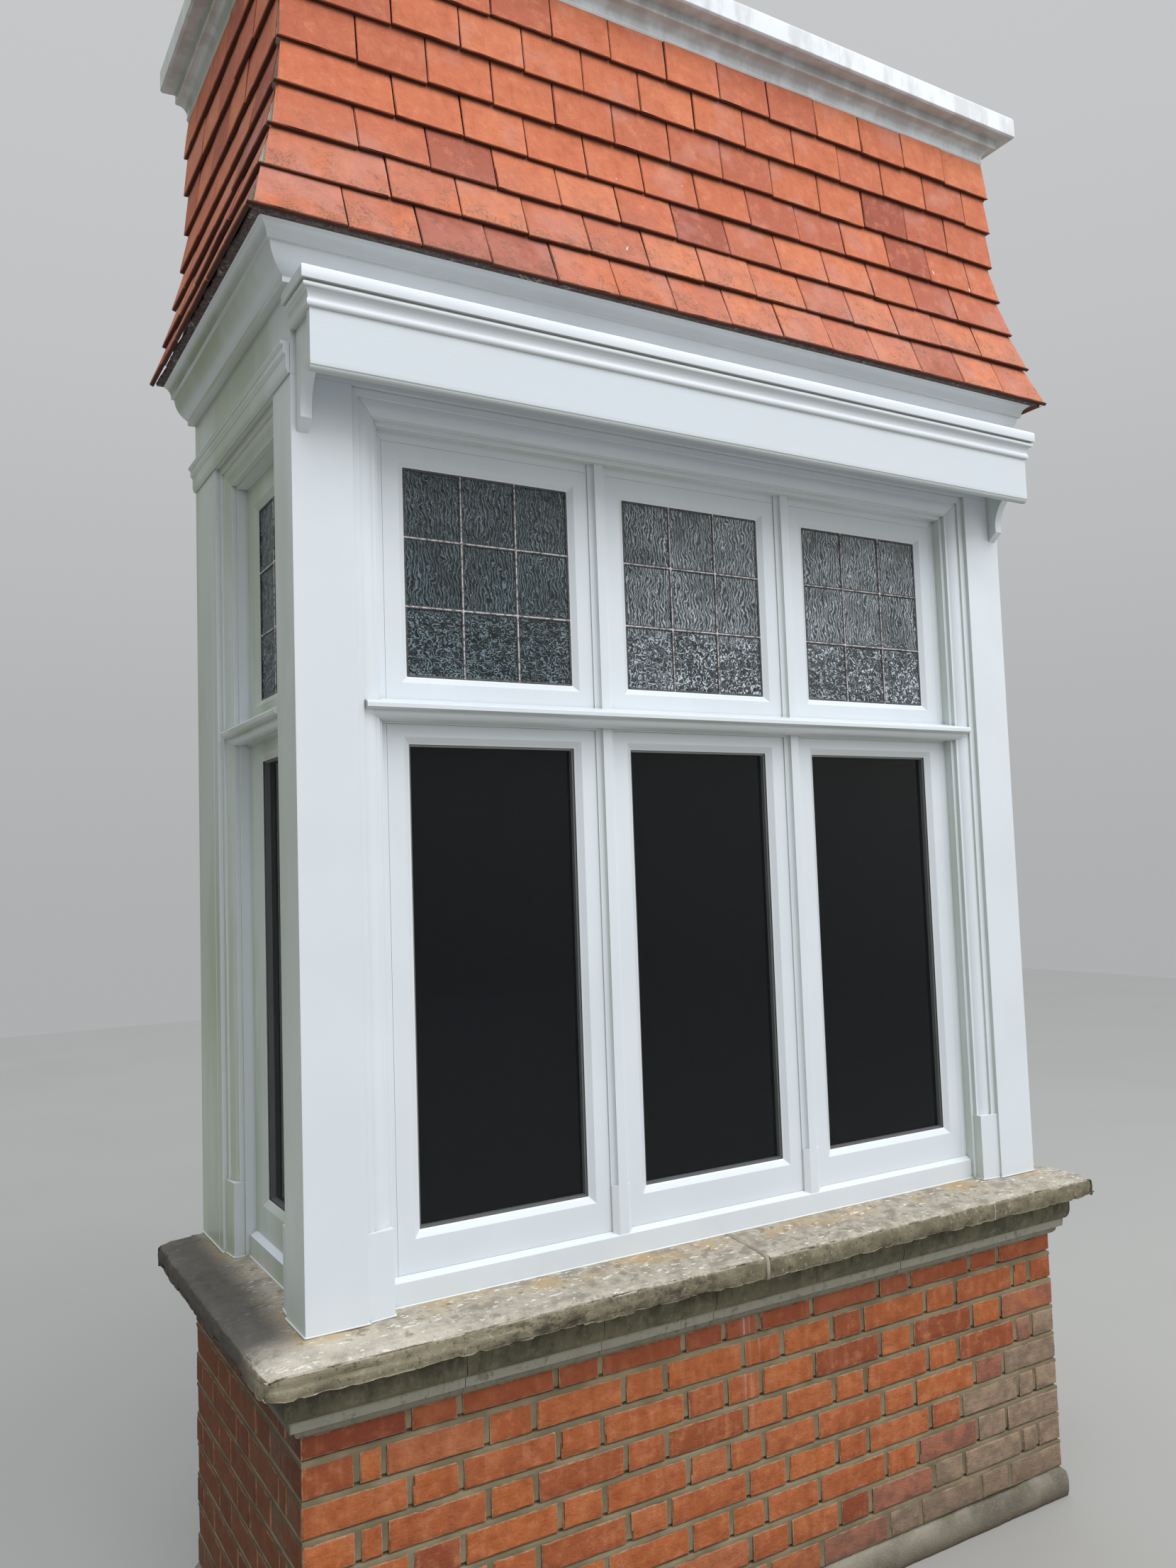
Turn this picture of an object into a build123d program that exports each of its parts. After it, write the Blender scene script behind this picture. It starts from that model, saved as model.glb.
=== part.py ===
from build123d import *
import os

# A box bay window, built up from the ground. Sizes are in millimetres.
# X runs along the front, Y runs into the house, Z runs up from the ground.
# The plane Y = 0 is the painted face of the two corner posts.

# Plan of the bay
HALF_WIDTH = 1071.0          # centre line to the outer face of a corner post
BAY_DEPTH = 880.0            # face of the corner posts back to the house wall
POST_FRONT = 134.0           # flat of a corner post on the front
POST_SIDE = 131.0            # flat of a corner post on the return
WALL_POST_FLAT = 216.0       # flat of the post against the house wall
WALL_POST_BOARD = 172.0      # the part of that flat behind the open joint
BOARD_JOINT = 5.0
WALL_THICK = 215.0           # one brick length

# Base
FOOTING_HEIGHT = 80.0
FOOTING_SPREAD = 16.0        # projection past the brick face, both sides
FOOTING_SPLAY = 10.0
FOOTING_SLOPE = 26.0         # height of the splayed top edge
COURSE = 74.5                # one brick and its bed joint
COURSES = 8
CUT_COURSE = 48.0            # cut bricks under the string course
BRICK_FACE = 21.0            # brick face in front of the posts
STRING_HEIGHT = 106.0
STRING_OUT = 43.0            # projection of the string course past the brick
STRING_BED = 100.0           # how far it is built into the wall
STONE_THICK = 70.0
STONE_OUT = 118.0
STONE_FALL = 11.0            # weathered top of the sill stones
STONE_IN = 128.0             # how far the stone runs in under the window
STONE_ROUND = 10.0
STONE_JOINT = 8.0            # the open joint in the middle of the front
THROAT = 11.0                # drip groove under the stones
THROAT_EDGE = 18.0

BRICK_TOP = FOOTING_HEIGHT + COURSES * COURSE + CUT_COURSE
STRING_TOP = BRICK_TOP + STRING_HEIGHT
SEAT = STRING_TOP + STONE_THICK          # the posts stand here

# Joinery of the lights
MOULD_WIDTH = 88.0           # moulded edge between a post's flat and the sash
SASH_FACE = 64.0             # sash face behind the post face
SASH_THICK = 50.0
FRAME_IN = 128.0             # inner face of all the framing
REBATE = 12.0                # framing behind the sashes
GAP = 0.2                    # clearance round each sash, painted in
STILE = 55.0                 # stile or rail, with its glazing bevel
BEVEL = 16.0
BEVEL_DEPTH = 11.0
GLASS = 4.0
CAVITY = 12.0                # between the two sheets of a lower pane
SPACER = 9.0
GLASS_HELD = 10.0            # glass held inside the sash
MULLION_HALF = 26.0
MULLION_FACE = 12.0
MULLION_PROUD = 15.0         # mullion face in front of the sashes
STOP_HEIGHT = 175.0          # plain stop at the foot of the moulded edges
STOP_WIDTH = 60.0
STOP_FACE = 6.0
MULLION_STOP = 106.0
SILL_FACE = 48.0
SILL_HEIGHT = 58.0
SILL_SPLAY = 9.0
BOTTOM_RAIL = 87.0           # rail under the lower glass
LOWER_LIGHT = 1051.0         # height of the lower glass
TOP_RAIL = 44.0
TRANSOM_HEIGHT = 54.0
UPPER_LIGHT = 474.0          # height of the leaded glass
UPPER_TOP_RAIL = 53.0

POST_IN = POST_FRONT + MOULD_WIDTH
OPENING = 2 * (HALF_WIDTH - POST_IN)
LIGHT_PITCH = (OPENING + 2 * MULLION_HALF) / 3
LIGHT_WIDTH = LIGHT_PITCH - 2 * MULLION_HALF - 2 * STILE
REAR = SASH_FACE + SASH_THICK
SILL_TOP = SEAT + SILL_HEIGHT
LOWER_GLASS_FOOT = SILL_TOP + BOTTOM_RAIL
LOWER_GLASS_HEAD = LOWER_GLASS_FOOT + LOWER_LIGHT
TRANSOM_FOOT = LOWER_GLASS_HEAD + TOP_RAIL
TRANSOM_TOP = TRANSOM_FOOT + TRANSOM_HEIGHT
UPPER_GLASS_FOOT = TRANSOM_TOP + STILE
UPPER_GLASS_HEAD = UPPER_GLASS_FOOT + UPPER_LIGHT
UPPER_SASH_TOP = UPPER_GLASS_HEAD + UPPER_TOP_RAIL
HEAD_TOP = UPPER_SASH_TOP + MOULD_WIDTH
SIDE_SASH_FRONT = POST_SIDE + MOULD_WIDTH
SIDE_START = BAY_DEPTH - WALL_POST_FLAT
SIDE_SASH_BACK = SIDE_START - MOULD_WIDTH

# Beam and its mouldings
BEAM_HEIGHT = 283.0
BEAM_DEPTH = 128.0
BAND_HEIGHT = 68.0           # stepped band of the returns
BAND_OUT = 20.0
CROWN_HEIGHT = 98.0
CROWN_OUT = 84.0
BEAM_TOP = HEAD_TOP + BEAM_HEIGHT

# Blind box over the front
BOX_OUT = 121.0              # fascia face in front of the posts
BOX_DROP = 35.0              # bottom of the fascia below the top of the head
BOX_HEIGHT = 127.0
BOX_BOARD = 20.0
BOX_SHORT = 5.0              # fascia end short of the post face
CAP_HEIGHT = 76.0
CAP_OUT = 22.0
BRACKET_THICK = 25.0
BRACKET_SHORT = 12.0
BRACKET_FOOT = 90.0          # foot below the fascia
BOX_FOOT = HEAD_TOP - BOX_DROP
BOX_TOP = BOX_FOOT + BOX_HEIGHT
CAP_TOP = BOX_TOP + CAP_HEIGHT

# Tile hanging, and the sill on top of it
TILE_COURSES = 7
TILE_GAUGE = 110.0
TILE_THICK = 13.0
TILE_FACE = 25.0             # tile face in front of the posts, upper courses
TILE_FLARE = 94.0            # extra projection at the foot
FLARE_COURSES = 4.2          # height of the flare, in courses
SKIRT_THICK = 48.0           # tiles, battens and boarding
SKIRT_FOOT = 24.0            # boarding set back at the foot
CAP_SILL_HEIGHT = 130.0
CAP_SILL_OUT = 85.0
CAP_SILL_IN = 60.0
CAP_SILL_FALL = 12.0
DECK_THICK = 22.0
DECK_DOWN = 6.0
TILE_TOP = BEAM_TOP + TILE_COURSES * TILE_GAUGE
CAP_SILL_TOP = TILE_TOP + CAP_SILL_HEIGHT

# Inside
BOARD_THICK = 25.0
BOARD_IN = 120.0             # window board past the framing
BOARD_ROUND = 6.0
CEILING_THICK = 15.0
CEILING_UP = 27.0            # ceiling above the top of the head

LEFT = -HALF_WIDTH
RIGHT = HALF_WIDTH

# Mouldings, as shares of their own width and height. A row of four is a point that an arc
# leads to, and then the arc's middle.
EDGE_MOULD = [
    (0, 0), (0, 0.17), (0.205, 0.17), (0.205, 0.27), (0.59, 0.42, 0.37, 0.27),
    (0.66, 0.42), (0.66, 0.60), (0.77, 0.60), (0.77, 1), (1, 1),
]
STRING_MOULD = [
    (0, 0), (0.12, 0), (0.30, 0.07), (0.37, 0.18), (0.63, 0.20), (0.67, 0.40),
    (1, 0.66, 0.91, 0.48), (1, 1),
]
CROWN_MOULD = [
    (0, 0), (0.24, 0), (0.24, 0.12), (0.30, 0.15), (0.66, 0.67, 0.55, 0.37), (0.76, 0.67),
    (0.93, 0.97, 0.80, 0.86), (1, 1),
]
BAND_MOULD = [
    (0, 0), (0.25, 0), (0.45, 0.18), (0.45, 0.56), (0.72, 0.62), (0.72, 0.86),
    (1, 0.90), (1, 1), (0, 1),
]
CAP_MOULD = [
    (0, 0), (0.22, 0.08, 0.16, 0.03), (0.45, 0.08), (0.70, 0.42, 0.50, 0.30), (0.84, 0.44),
    (1, 0.52), (1, 1), (0.9, 1.02),
]
CAP_SILL_MOULD = [
    (0, 0), (0.05, 0.05), (0.42, 0.32, 0.12, 0.26), (0.46, 0.34), (0.46, 0.52), (0.93, 0.50),
    (1, 0.54), (1, 0.95), (0.95, 1),
]
TRANSOM_MOULD = [
    (0, 0), (0, 0.08), (0.12, 0.10), (0.72, 0.30, 0.56, 0.13), (0.72, 0.43), (0.9, 0.45), (1, 0.51),
    (1, 0.67), (0.93, 0.75), (0, 1),
]
BRACKET_MOULD = [
    (1, 1), (0.34, 0.56, 0.62, 0.86), (0.29, 0.18, 0.28, 0.40), (0, 0),
]


def fitted(shape, a0, a1, b0, b1):
    """A moulding's rows, set between a0 and a1 across and b0 and b1 up."""
    rows = []
    for row in shape:
        here = (a0 + row[0] * (a1 - a0), b0 + row[1] * (b1 - b0))
        if len(row) == 4:
            here += (a0 + row[2] * (a1 - a0), b0 + row[3] * (b1 - b0))
        rows.append(here)
    return rows


def moved(rows, da=0.0, turn=1.0):
    """The same rows with the first value of each point turned and moved."""
    out = []
    for row in rows:
        here = (da + turn * row[0], row[1])
        if len(row) == 4:
            here += (da + turn * row[2], row[3])
        out.append(here)
    return out


def swapped(rows):
    out = []
    for row in rows:
        out.append((row[1], row[0]) if len(row) == 2 else (row[1], row[0], row[3], row[2]))
    return out


def backwards(rows):
    """The same line drawn from its other end, with its arcs kept."""
    out = [rows[-1][:2]]
    for i in range(len(rows) - 1, 0, -1):
        here = rows[i - 1][:2]
        out.append(here + rows[i][2:] if len(rows[i]) == 4 else here)
    return out


def outline(rows):
    """Closed section through the rows."""
    edges = []
    here = rows[0][:2]
    for row in list(rows[1:]) + [rows[0][:2]]:
        there = row[:2]
        if len(row) == 4:
            edges.append(ThreePointArc(here, row[2:], there))
        elif here != there:
            edges.append(Line(here, there))
        here = there
    return make_face(Wire(edges))


def along_x(rows, x0, x1):
    """Section in (Y, Z) run from x0 to x1."""
    plane = Plane(origin=(x0, 0, 0), x_dir=(0, 1, 0), z_dir=(1, 0, 0))
    return extrude(plane * outline(rows), amount=x1 - x0)


def along_y(rows, y0, y1):
    """Section in (X, Z) run from y0 to y1."""
    plane = Plane(origin=(0, y1, 0), x_dir=(1, 0, 0), z_dir=(0, -1, 0))
    return extrude(plane * outline(rows), amount=y1 - y0)


def upright(rows, z0, z1):
    """Plan in (X, Y) run from z0 to z1."""
    return extrude(Plane.XY.offset(z0) * outline(rows), amount=z1 - z0)


def block(x0, x1, y0, y1, z0, z1):
    return Pos((x0 + x1) / 2, (y0 + y1) / 2, (z0 + z1) / 2) * Box(x1 - x0, y1 - y0, z1 - z0)


def other_hand(shape):
    return mirror(shape, about=Plane.YZ)


def pair(shape):
    return Compound([*shape.solids(), *other_hand(shape).solids()])


def group(*shapes):
    solids = []
    for shape in shapes:
        solids += shape.solids()
    return Compound(solids) if len(solids) > 1 else solids[0]


def span(rows):
    heights = [row[1] for row in rows]
    return min(heights) - 1, max(heights) + 1


def front_run(rows, reach):
    """Moulding across the front, section in (outward, Z), mitred at both corners."""
    bar = along_x(moved(rows, 0, -1), LEFT - reach, RIGHT + reach)
    far = BAY_DEPTH + reach
    outside = LEFT - reach - 1
    waste = upright([(outside, -reach - 1), (LEFT + far, far), (outside, far)], *span(rows))
    return bar - waste - other_hand(waste)


def side_run(rows, reach):
    """The same moulding down the left return, mitred at the front."""
    bar = along_y(moved(rows, LEFT, -1), -reach, BAY_DEPTH)
    far = BAY_DEPTH + reach
    front = -reach - 1
    waste = upright([(LEFT + front, front), (LEFT + far, front), (LEFT + far, far)], *span(rows))
    return bar - waste


def ring(rows, reach):
    """One piece round the front and both returns."""
    side = side_run(rows, reach)
    return front_run(rows, reach) + side + other_hand(side)


def footing():
    out = BRICK_FACE + FOOTING_SPREAD
    back = BRICK_FACE - WALL_THICK - FOOTING_SPREAD
    low = FOOTING_HEIGHT - FOOTING_SLOPE
    top = FOOTING_HEIGHT
    rows = [(out, 0), (out, low), (out - FOOTING_SPLAY, top), (back, top), (back, 0)]
    return ring(rows, out)


def brick_plinth():
    back = BRICK_FACE - WALL_THICK
    low, high = FOOTING_HEIGHT, BRICK_TOP
    rows = [(BRICK_FACE, low), (BRICK_FACE, high), (back, high), (back, low)]
    return ring(rows, BRICK_FACE)


def string_course():
    back = BRICK_FACE - STRING_BED
    face = fitted(STRING_MOULD, BRICK_FACE, BRICK_FACE + STRING_OUT, BRICK_TOP, STRING_TOP)
    return ring([(back, BRICK_TOP)] + face + [(back, STRING_TOP)], BRICK_FACE + STRING_OUT)


def stone_rows():
    edge = SEAT - STONE_FALL
    lip = STONE_OUT - THROAT_EDGE
    return [
        (-STONE_IN, STRING_TOP),
        (lip - THROAT, STRING_TOP),
        (lip, STRING_TOP, lip - THROAT / 2, STRING_TOP + THROAT / 2),
        (STONE_OUT, STRING_TOP),
        (STONE_OUT, edge - STONE_ROUND),
        (STONE_OUT - STONE_ROUND, edge, STONE_OUT - STONE_ROUND * 0.3, edge - STONE_ROUND * 0.3),
        (0, SEAT),
        (-STONE_IN, SEAT),
    ]


def stone_front_left():
    joint = -STONE_JOINT / 2
    waste = block(joint, RIGHT + STONE_OUT, -STONE_OUT - 1, BAY_DEPTH, STRING_TOP - 1, SEAT + 1)
    return front_run(stone_rows(), STONE_OUT) - waste


def stone_return_left():
    return side_run(stone_rows(), STONE_OUT)


def edge_rows(flat, turn):
    """The moulded edge in plan or section: from the flat inwards, (distance in, depth)."""
    return moved(fitted(EDGE_MOULD, 0, MOULD_WIDTH, 0, SASH_FACE), flat, turn)


def edge_mitre(start, turn):
    """Waste above the 45 degree mitre between a post's moulded edge and the head."""
    far = 2 * MOULD_WIDTH
    end = start + turn * far
    above = HEAD_TOP + 1
    return [(start, HEAD_TOP), (end, HEAD_TOP - far), (end, above), (start, above)]


def corner_post():
    """Left corner post with both moulded edges, and the plain stops at their feet."""
    front = edge_rows(LEFT + POST_FRONT, 1)[:-1]
    side = moved(swapped(edge_rows(POST_SIDE, 1)[:-1]), LEFT, 1)
    front_edge = LEFT + POST_IN
    side_edge = POST_SIDE + MOULD_WIDTH
    back = [
        (front_edge - GAP, SASH_FACE),
        (front_edge - GAP, REAR),
        (front_edge + REBATE, REAR),
        (front_edge + REBATE, FRAME_IN),
        (LEFT + FRAME_IN, side_edge + REBATE),
        (LEFT + REAR, side_edge + REBATE),
        (LEFT + REAR, side_edge - GAP),
        (LEFT + SASH_FACE, side_edge - GAP),
    ]
    post = upright([(LEFT, 0)] + front + back + backwards(side), SEAT, HEAD_TOP)
    front_stop = [(0, 0), (0, STOP_FACE), (STOP_WIDTH, STOP_FACE * 2)]
    front_stop += [(STOP_WIDTH, SASH_FACE), (0, SASH_FACE)]
    post += upright(moved(front_stop, LEFT + POST_FRONT), SEAT, SEAT + STOP_HEIGHT)
    side_stop = moved(swapped(moved(front_stop, POST_SIDE)), LEFT)
    post += upright(side_stop, SEAT, SEAT + STOP_HEIGHT)
    post -= along_y(edge_mitre(LEFT + POST_FRONT, 1), -1, FRAME_IN + 1)
    post -= along_x(edge_mitre(POST_SIDE, 1), LEFT - 1, LEFT + FRAME_IN + 1)
    return post


def wall_post():
    """Left post against the house wall, of two boards with an open joint and a moulded edge."""
    joint = BAY_DEPTH - WALL_POST_BOARD
    side = moved(swapped(edge_rows(SIDE_START, -1)[:-1]), LEFT, 1)
    edge = SIDE_SASH_BACK
    rows = [
        (LEFT, BAY_DEPTH),
        (LEFT, joint),
        (LEFT + BOARD_JOINT, joint - BOARD_JOINT / 2),
        (LEFT, joint - BOARD_JOINT),
    ]
    rows += side + [
        (LEFT + SASH_FACE, edge + GAP),
        (LEFT + REAR, edge + GAP),
        (LEFT + REAR, edge - REBATE),
        (LEFT + FRAME_IN, edge - REBATE),
        (LEFT + FRAME_IN, BAY_DEPTH),
    ]
    post = upright(rows, SEAT, HEAD_TOP)
    stop = [(0, 0), (0, STOP_FACE), (STOP_WIDTH, STOP_FACE * 2)]
    stop += [(STOP_WIDTH, SASH_FACE), (0, SASH_FACE)]
    post += upright(moved(swapped(moved(stop, SIDE_START, -1)), LEFT), SEAT, SEAT + STOP_HEIGHT)
    post -= along_x(edge_mitre(SIDE_START, -1), LEFT - 1, LEFT + FRAME_IN + 1)
    return post


def head_rows():
    """Section (depth, Z) of the moulded head, with the same moulding as the posts."""
    face = []
    for row in edge_rows(0, 1):
        bend = (row[3], HEAD_TOP - row[2]) if len(row) == 4 else ()
        face.append((row[1], HEAD_TOP - row[0]) + bend)
    return face[:-1] + [
        (SASH_FACE, UPPER_SASH_TOP + GAP),
        (REAR, UPPER_SASH_TOP + GAP),
        (REAR, UPPER_SASH_TOP - REBATE),
        (FRAME_IN, UPPER_SASH_TOP - REBATE),
        (FRAME_IN, HEAD_TOP),
    ]


def head_waste(start, turn):
    far = 2 * MOULD_WIDTH
    near, below = start - turn, HEAD_TOP - far
    return [(near, HEAD_TOP + 1), (start + turn * far, below), (near, below)]


def head_front():
    bar = along_x(head_rows(), LEFT + POST_FRONT, RIGHT - POST_FRONT)
    waste = along_y(head_waste(LEFT + POST_FRONT, 1), -1, FRAME_IN + 1)
    return bar - waste - other_hand(waste)


def head_side():
    bar = along_y(moved(head_rows(), LEFT), POST_SIDE, SIDE_START)
    front_waste = along_x(head_waste(POST_SIDE, 1), LEFT - 1, LEFT + FRAME_IN + 1)
    back_waste = along_x(head_waste(SIDE_START, -1), LEFT - 1, LEFT + FRAME_IN + 1)
    return bar - front_waste - back_waste


def transom_rows():
    """Section (depth, Z): weathered top, nosing and cove in front, rebates for both sashes behind."""
    face = fitted(TRANSOM_MOULD, SASH_FACE - STOP_FACE, 0, TRANSOM_FOOT + GAP, TRANSOM_TOP - GAP)
    return face + [
        (REAR, TRANSOM_TOP - GAP),
        (REAR, TRANSOM_TOP + REBATE),
        (FRAME_IN, TRANSOM_TOP + REBATE),
        (FRAME_IN, TRANSOM_FOOT - REBATE),
        (REAR, TRANSOM_FOOT - REBATE),
        (REAR, TRANSOM_FOOT + GAP),
    ]


def sill_rows():
    return [
        (FRAME_IN, SEAT),
        (SILL_FACE, SEAT),
        (SILL_FACE, SILL_TOP - SILL_SPLAY),
        (SASH_FACE, SILL_TOP),
        (REAR, SILL_TOP),
        (REAR, SILL_TOP + REBATE),
        (FRAME_IN, SILL_TOP + REBATE),
    ]


def between_front(rows, posts, past=0.0):
    """A rail between the corner posts, cut to their moulded edges."""
    return along_x(rows, LEFT + POST_FRONT + past, RIGHT - POST_FRONT - past) - posts


def between_side(rows, posts, past=0.0):
    return along_y(moved(rows, LEFT), POST_SIDE + past, SIDE_START - past) - posts


def mullion(z0, z1, x):
    """Moulded face with coved sides, a body between the sashes and a wider rebate behind."""
    face = SASH_FACE - MULLION_PROUD
    quirk = SASH_FACE - MULLION_PROUD / 4
    bend = (MULLION_FACE + MULLION_HALF) / 2 - MULLION_FACE / 6
    half = [
        (MULLION_FACE, face),
        (MULLION_HALF, quirk, bend, SASH_FACE - MULLION_PROUD / 3),
        (MULLION_HALF, SASH_FACE),
        (MULLION_HALF - GAP, SASH_FACE),
        (MULLION_HALF - GAP, REAR),
        (MULLION_HALF + REBATE, REAR),
        (MULLION_HALF + REBATE, FRAME_IN),
    ]
    return upright(moved(half, x) + backwards(moved(half, x, -1)), z0, z1)


def mullions(transom, sill, head):
    pieces = []
    proud = SASH_FACE - MULLION_PROUD
    stop = [
        (MULLION_HALF - GAP, SASH_FACE),
        (MULLION_HALF - GAP, SASH_FACE - STOP_FACE),
        (MULLION_FACE + GAP, proud),
        (-MULLION_FACE - GAP, proud),
        (-MULLION_HALF + GAP, SASH_FACE - STOP_FACE),
        (-MULLION_HALF + GAP, SASH_FACE),
    ]
    foot = SILL_TOP - SILL_SPLAY
    for x in (-LIGHT_PITCH / 2, LIGHT_PITCH / 2):
        lower = mullion(foot, TRANSOM_FOOT + TRANSOM_HEIGHT / 8, x)
        lower += upright(moved(stop, x), foot, SILL_TOP + MULLION_STOP)
        upper = mullion(TRANSOM_TOP - TRANSOM_HEIGHT / 4, UPPER_SASH_TOP + MOULD_WIDTH / 4, x)
        pieces += [lower - sill - transom, upper - transom - head]
    return group(*pieces)


def lying(x0, x1, z0, z1, y):
    """An upright rectangle facing -Y at depth y."""
    plane = Plane(origin=((x0 + x1) / 2, y, (z0 + z1) / 2), x_dir=(1, 0, 0), z_dir=(0, -1, 0))
    return (plane * Rectangle(x1 - x0, z1 - z0)).face()


def sash(x0, x1, z0, z1, glass, sheet):
    """Sash frame, with its mitred bevel round the glass and a groove that holds it."""
    g0, g1, h0, h1 = glass
    frame = block(x0, x1, SASH_FACE, REAR, z0, z1)
    seat = SASH_FACE + BEVEL_DEPTH
    funnel = loft([
        lying(g0 - BEVEL, g1 + BEVEL, h0 - BEVEL, h1 + BEVEL, SASH_FACE),
        lying(g0, g1, h0, h1, seat),
    ])
    held = GLASS_HELD
    groove = block(g0 - held, g1 + held, seat, seat + sheet, h0 - held, h1 + held)
    through = block(g0, g1, seat, REAR + 1, h0, h1)
    return frame - funnel - groove - through


def sheets(glass, doubled):
    """One sheet of glass, or the two of a sealed pane, resting in the sash's groove."""
    g0, g1, h0, h1 = glass
    seat = SASH_FACE + BEVEL_DEPTH
    held = GLASS_HELD
    out = [block(g0 - held, g1 + held, seat, seat + GLASS, h0 - held, h1 + held)]
    if doubled:
        back = seat + GLASS + CAVITY
        out.append(block(g0 - held, g1 + held, back, back + GLASS, h0 - held, h1 + held))
    return Compound([s for shape in out for s in shape.solids()])


def spacer(glass):
    """The metal frame that keeps the two sheets of a lower pane apart."""
    g0, g1, h0, h1 = glass
    front = SASH_FACE + BEVEL_DEPTH + GLASS
    inside = SPACER - GLASS_HELD / 2
    held = GLASS_HELD / 2
    outer = block(g0 - held, g1 + held, front, front + CAVITY, h0 - held, h1 + held)
    inner = block(g0 + inside, g1 - inside, front - 1, front + CAVITY + 1, h0 + inside, h1 - inside)
    return outer - inner


def front_lights(lower):
    """Edges of the three sashes across the front, and of the glass in each."""
    lights = []
    heights = (LOWER_GLASS_FOOT, LOWER_GLASS_HEAD) if lower else (UPPER_GLASS_FOOT, UPPER_GLASS_HEAD)
    for step in (-1, 0, 1):
        centre = step * LIGHT_PITCH
        g0, g1 = centre - LIGHT_WIDTH / 2, centre + LIGHT_WIDTH / 2
        lights.append((g0 - STILE, g1 + STILE, (g0, g1, *heights)))
    return lights


def side_lights(lower):
    """The one light of a return, measured from the back to the front before it is turned."""
    heights = (LOWER_GLASS_FOOT, LOWER_GLASS_HEAD) if lower else (UPPER_GLASS_FOOT, UPPER_GLASS_HEAD)
    back, front = -SIDE_SASH_BACK, -SIDE_SASH_FRONT
    return [(back, front, (back + STILE, front - STILE, *heights))]


def sashes(lights, lower):
    z0, z1 = (SILL_TOP + GAP, TRANSOM_FOOT) if lower else (TRANSOM_TOP, UPPER_SASH_TOP)
    sheet = 2 * GLASS + CAVITY if lower else GLASS
    return group(*[sash(x0, x1, z0, z1, glass, sheet) for x0, x1, glass in lights])


def panes(lights, lower):
    return group(*[sheets(glass, lower) for x0, x1, glass in lights])


def spacers(lights):
    return group(*[spacer(glass) for x0, x1, glass in lights])


def on_return(shape):
    """A front-facing piece turned to face left and set on the left return."""
    return Pos(LEFT, 0, 0) * Rot(0, 0, -90) * shape


def head_beam():
    rows = [(0, HEAD_TOP), (0, BEAM_TOP), (-BEAM_DEPTH, BEAM_TOP), (-BEAM_DEPTH, HEAD_TOP)]
    return ring(rows, 1)


def side_band():
    """Stepped band of the left return, ending flush with the front."""
    rows = fitted(BAND_MOULD, 0, -BAND_OUT, HEAD_TOP, HEAD_TOP + BAND_HEIGHT)
    return along_y(moved(rows, LEFT), 0, BAY_DEPTH)


def box_fascia():
    face, back = -BOX_OUT, BOX_BOARD - BOX_OUT
    round_off = BOX_BOARD / 2
    rows = [
        (back, BOX_TOP),
        (face, BOX_TOP),
        (face, BOX_FOOT + round_off),
        (face + round_off * 0.2, BOX_FOOT + round_off * 0.8),
        (face + round_off, BOX_FOOT, face + round_off * 0.35, BOX_FOOT + round_off * 0.3),
        (back - round_off * 0.3, BOX_FOOT),
        (back, BOX_FOOT + round_off * 0.3),
    ]
    return along_x(rows, LEFT + BOX_SHORT, RIGHT - BOX_SHORT)


def box_cap():
    """Moulded top of the blind box, returned at both ends and sloped to shed rain."""
    front = fitted(CAP_MOULD, -BOX_OUT, -BOX_OUT - CAP_OUT, BOX_TOP, CAP_TOP)
    rise = CAP_HEIGHT / 8
    end = LEFT + BOX_SHORT
    bar = along_x(front + [(0, CAP_TOP + rise), (0, BOX_TOP)], end - CAP_OUT, -end + CAP_OUT)
    corner = (end - CAP_OUT - 1, -BOX_OUT - CAP_OUT - 1)
    far = BOX_OUT * 2
    inside = (corner[0] + far, corner[1] + far)
    waste = upright([corner, inside, (corner[0], inside[1])], BOX_TOP - 1, CAP_TOP + rise + 1)
    side = fitted(CAP_MOULD, end, end - CAP_OUT, BOX_TOP, CAP_TOP)
    inner = end + BOX_OUT
    section = side + [(inner, CAP_TOP + rise), (inner, BOX_TOP)]
    return_end = along_y(section, -BOX_OUT - CAP_OUT, 0) & waste
    return bar - waste - other_hand(waste) + return_end + other_hand(return_end)


def bracket():
    """Shaped end cheek of the blind box, fixed to the face of the corner post."""
    front = BOX_BOARD - BOX_OUT
    foot = BOX_FOOT - BRACKET_FOOT
    shoulder = BOX_FOOT + BOX_HEIGHT / 3
    rows = [(0, BOX_TOP), (front, BOX_TOP)] + fitted(BRACKET_MOULD, 0, front, foot, shoulder)
    inner = LEFT + BRACKET_SHORT
    return along_x(rows, inner, inner + BRACKET_THICK)


def crown_rows():
    return fitted(CROWN_MOULD, 0, CROWN_OUT, BEAM_TOP - CROWN_HEIGHT, BEAM_TOP) + [(0, BEAM_TOP)]


def tile_face(z):
    """How far the tiles stand in front of the posts at a height: bell-cast at the foot."""
    rise = (z - BEAM_TOP) / (FLARE_COURSES * TILE_GAUGE)
    return TILE_FACE + (TILE_FLARE * (1 - rise) ** 1.6 if rise < 1 else 0.0)


def tile_rows():
    """Lapped courses outside, each tail standing off the head of the one below, and boarding inside."""
    rows = []
    for course in range(TILE_COURSES):
        tail = BEAM_TOP + course * TILE_GAUGE
        rows.append((tile_face(tail), tail))
        rows.append((tile_face(tail + TILE_GAUGE) - TILE_THICK, tail + TILE_GAUGE))
    for course in (TILE_COURSES, FLARE_COURSES, 2.0):
        z = BEAM_TOP + course * TILE_GAUGE
        rows.append((tile_face(z) - SKIRT_THICK, z))
    rows.append((tile_face(BEAM_TOP) - SKIRT_THICK - SKIRT_FOOT, BEAM_TOP))
    return rows


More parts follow.
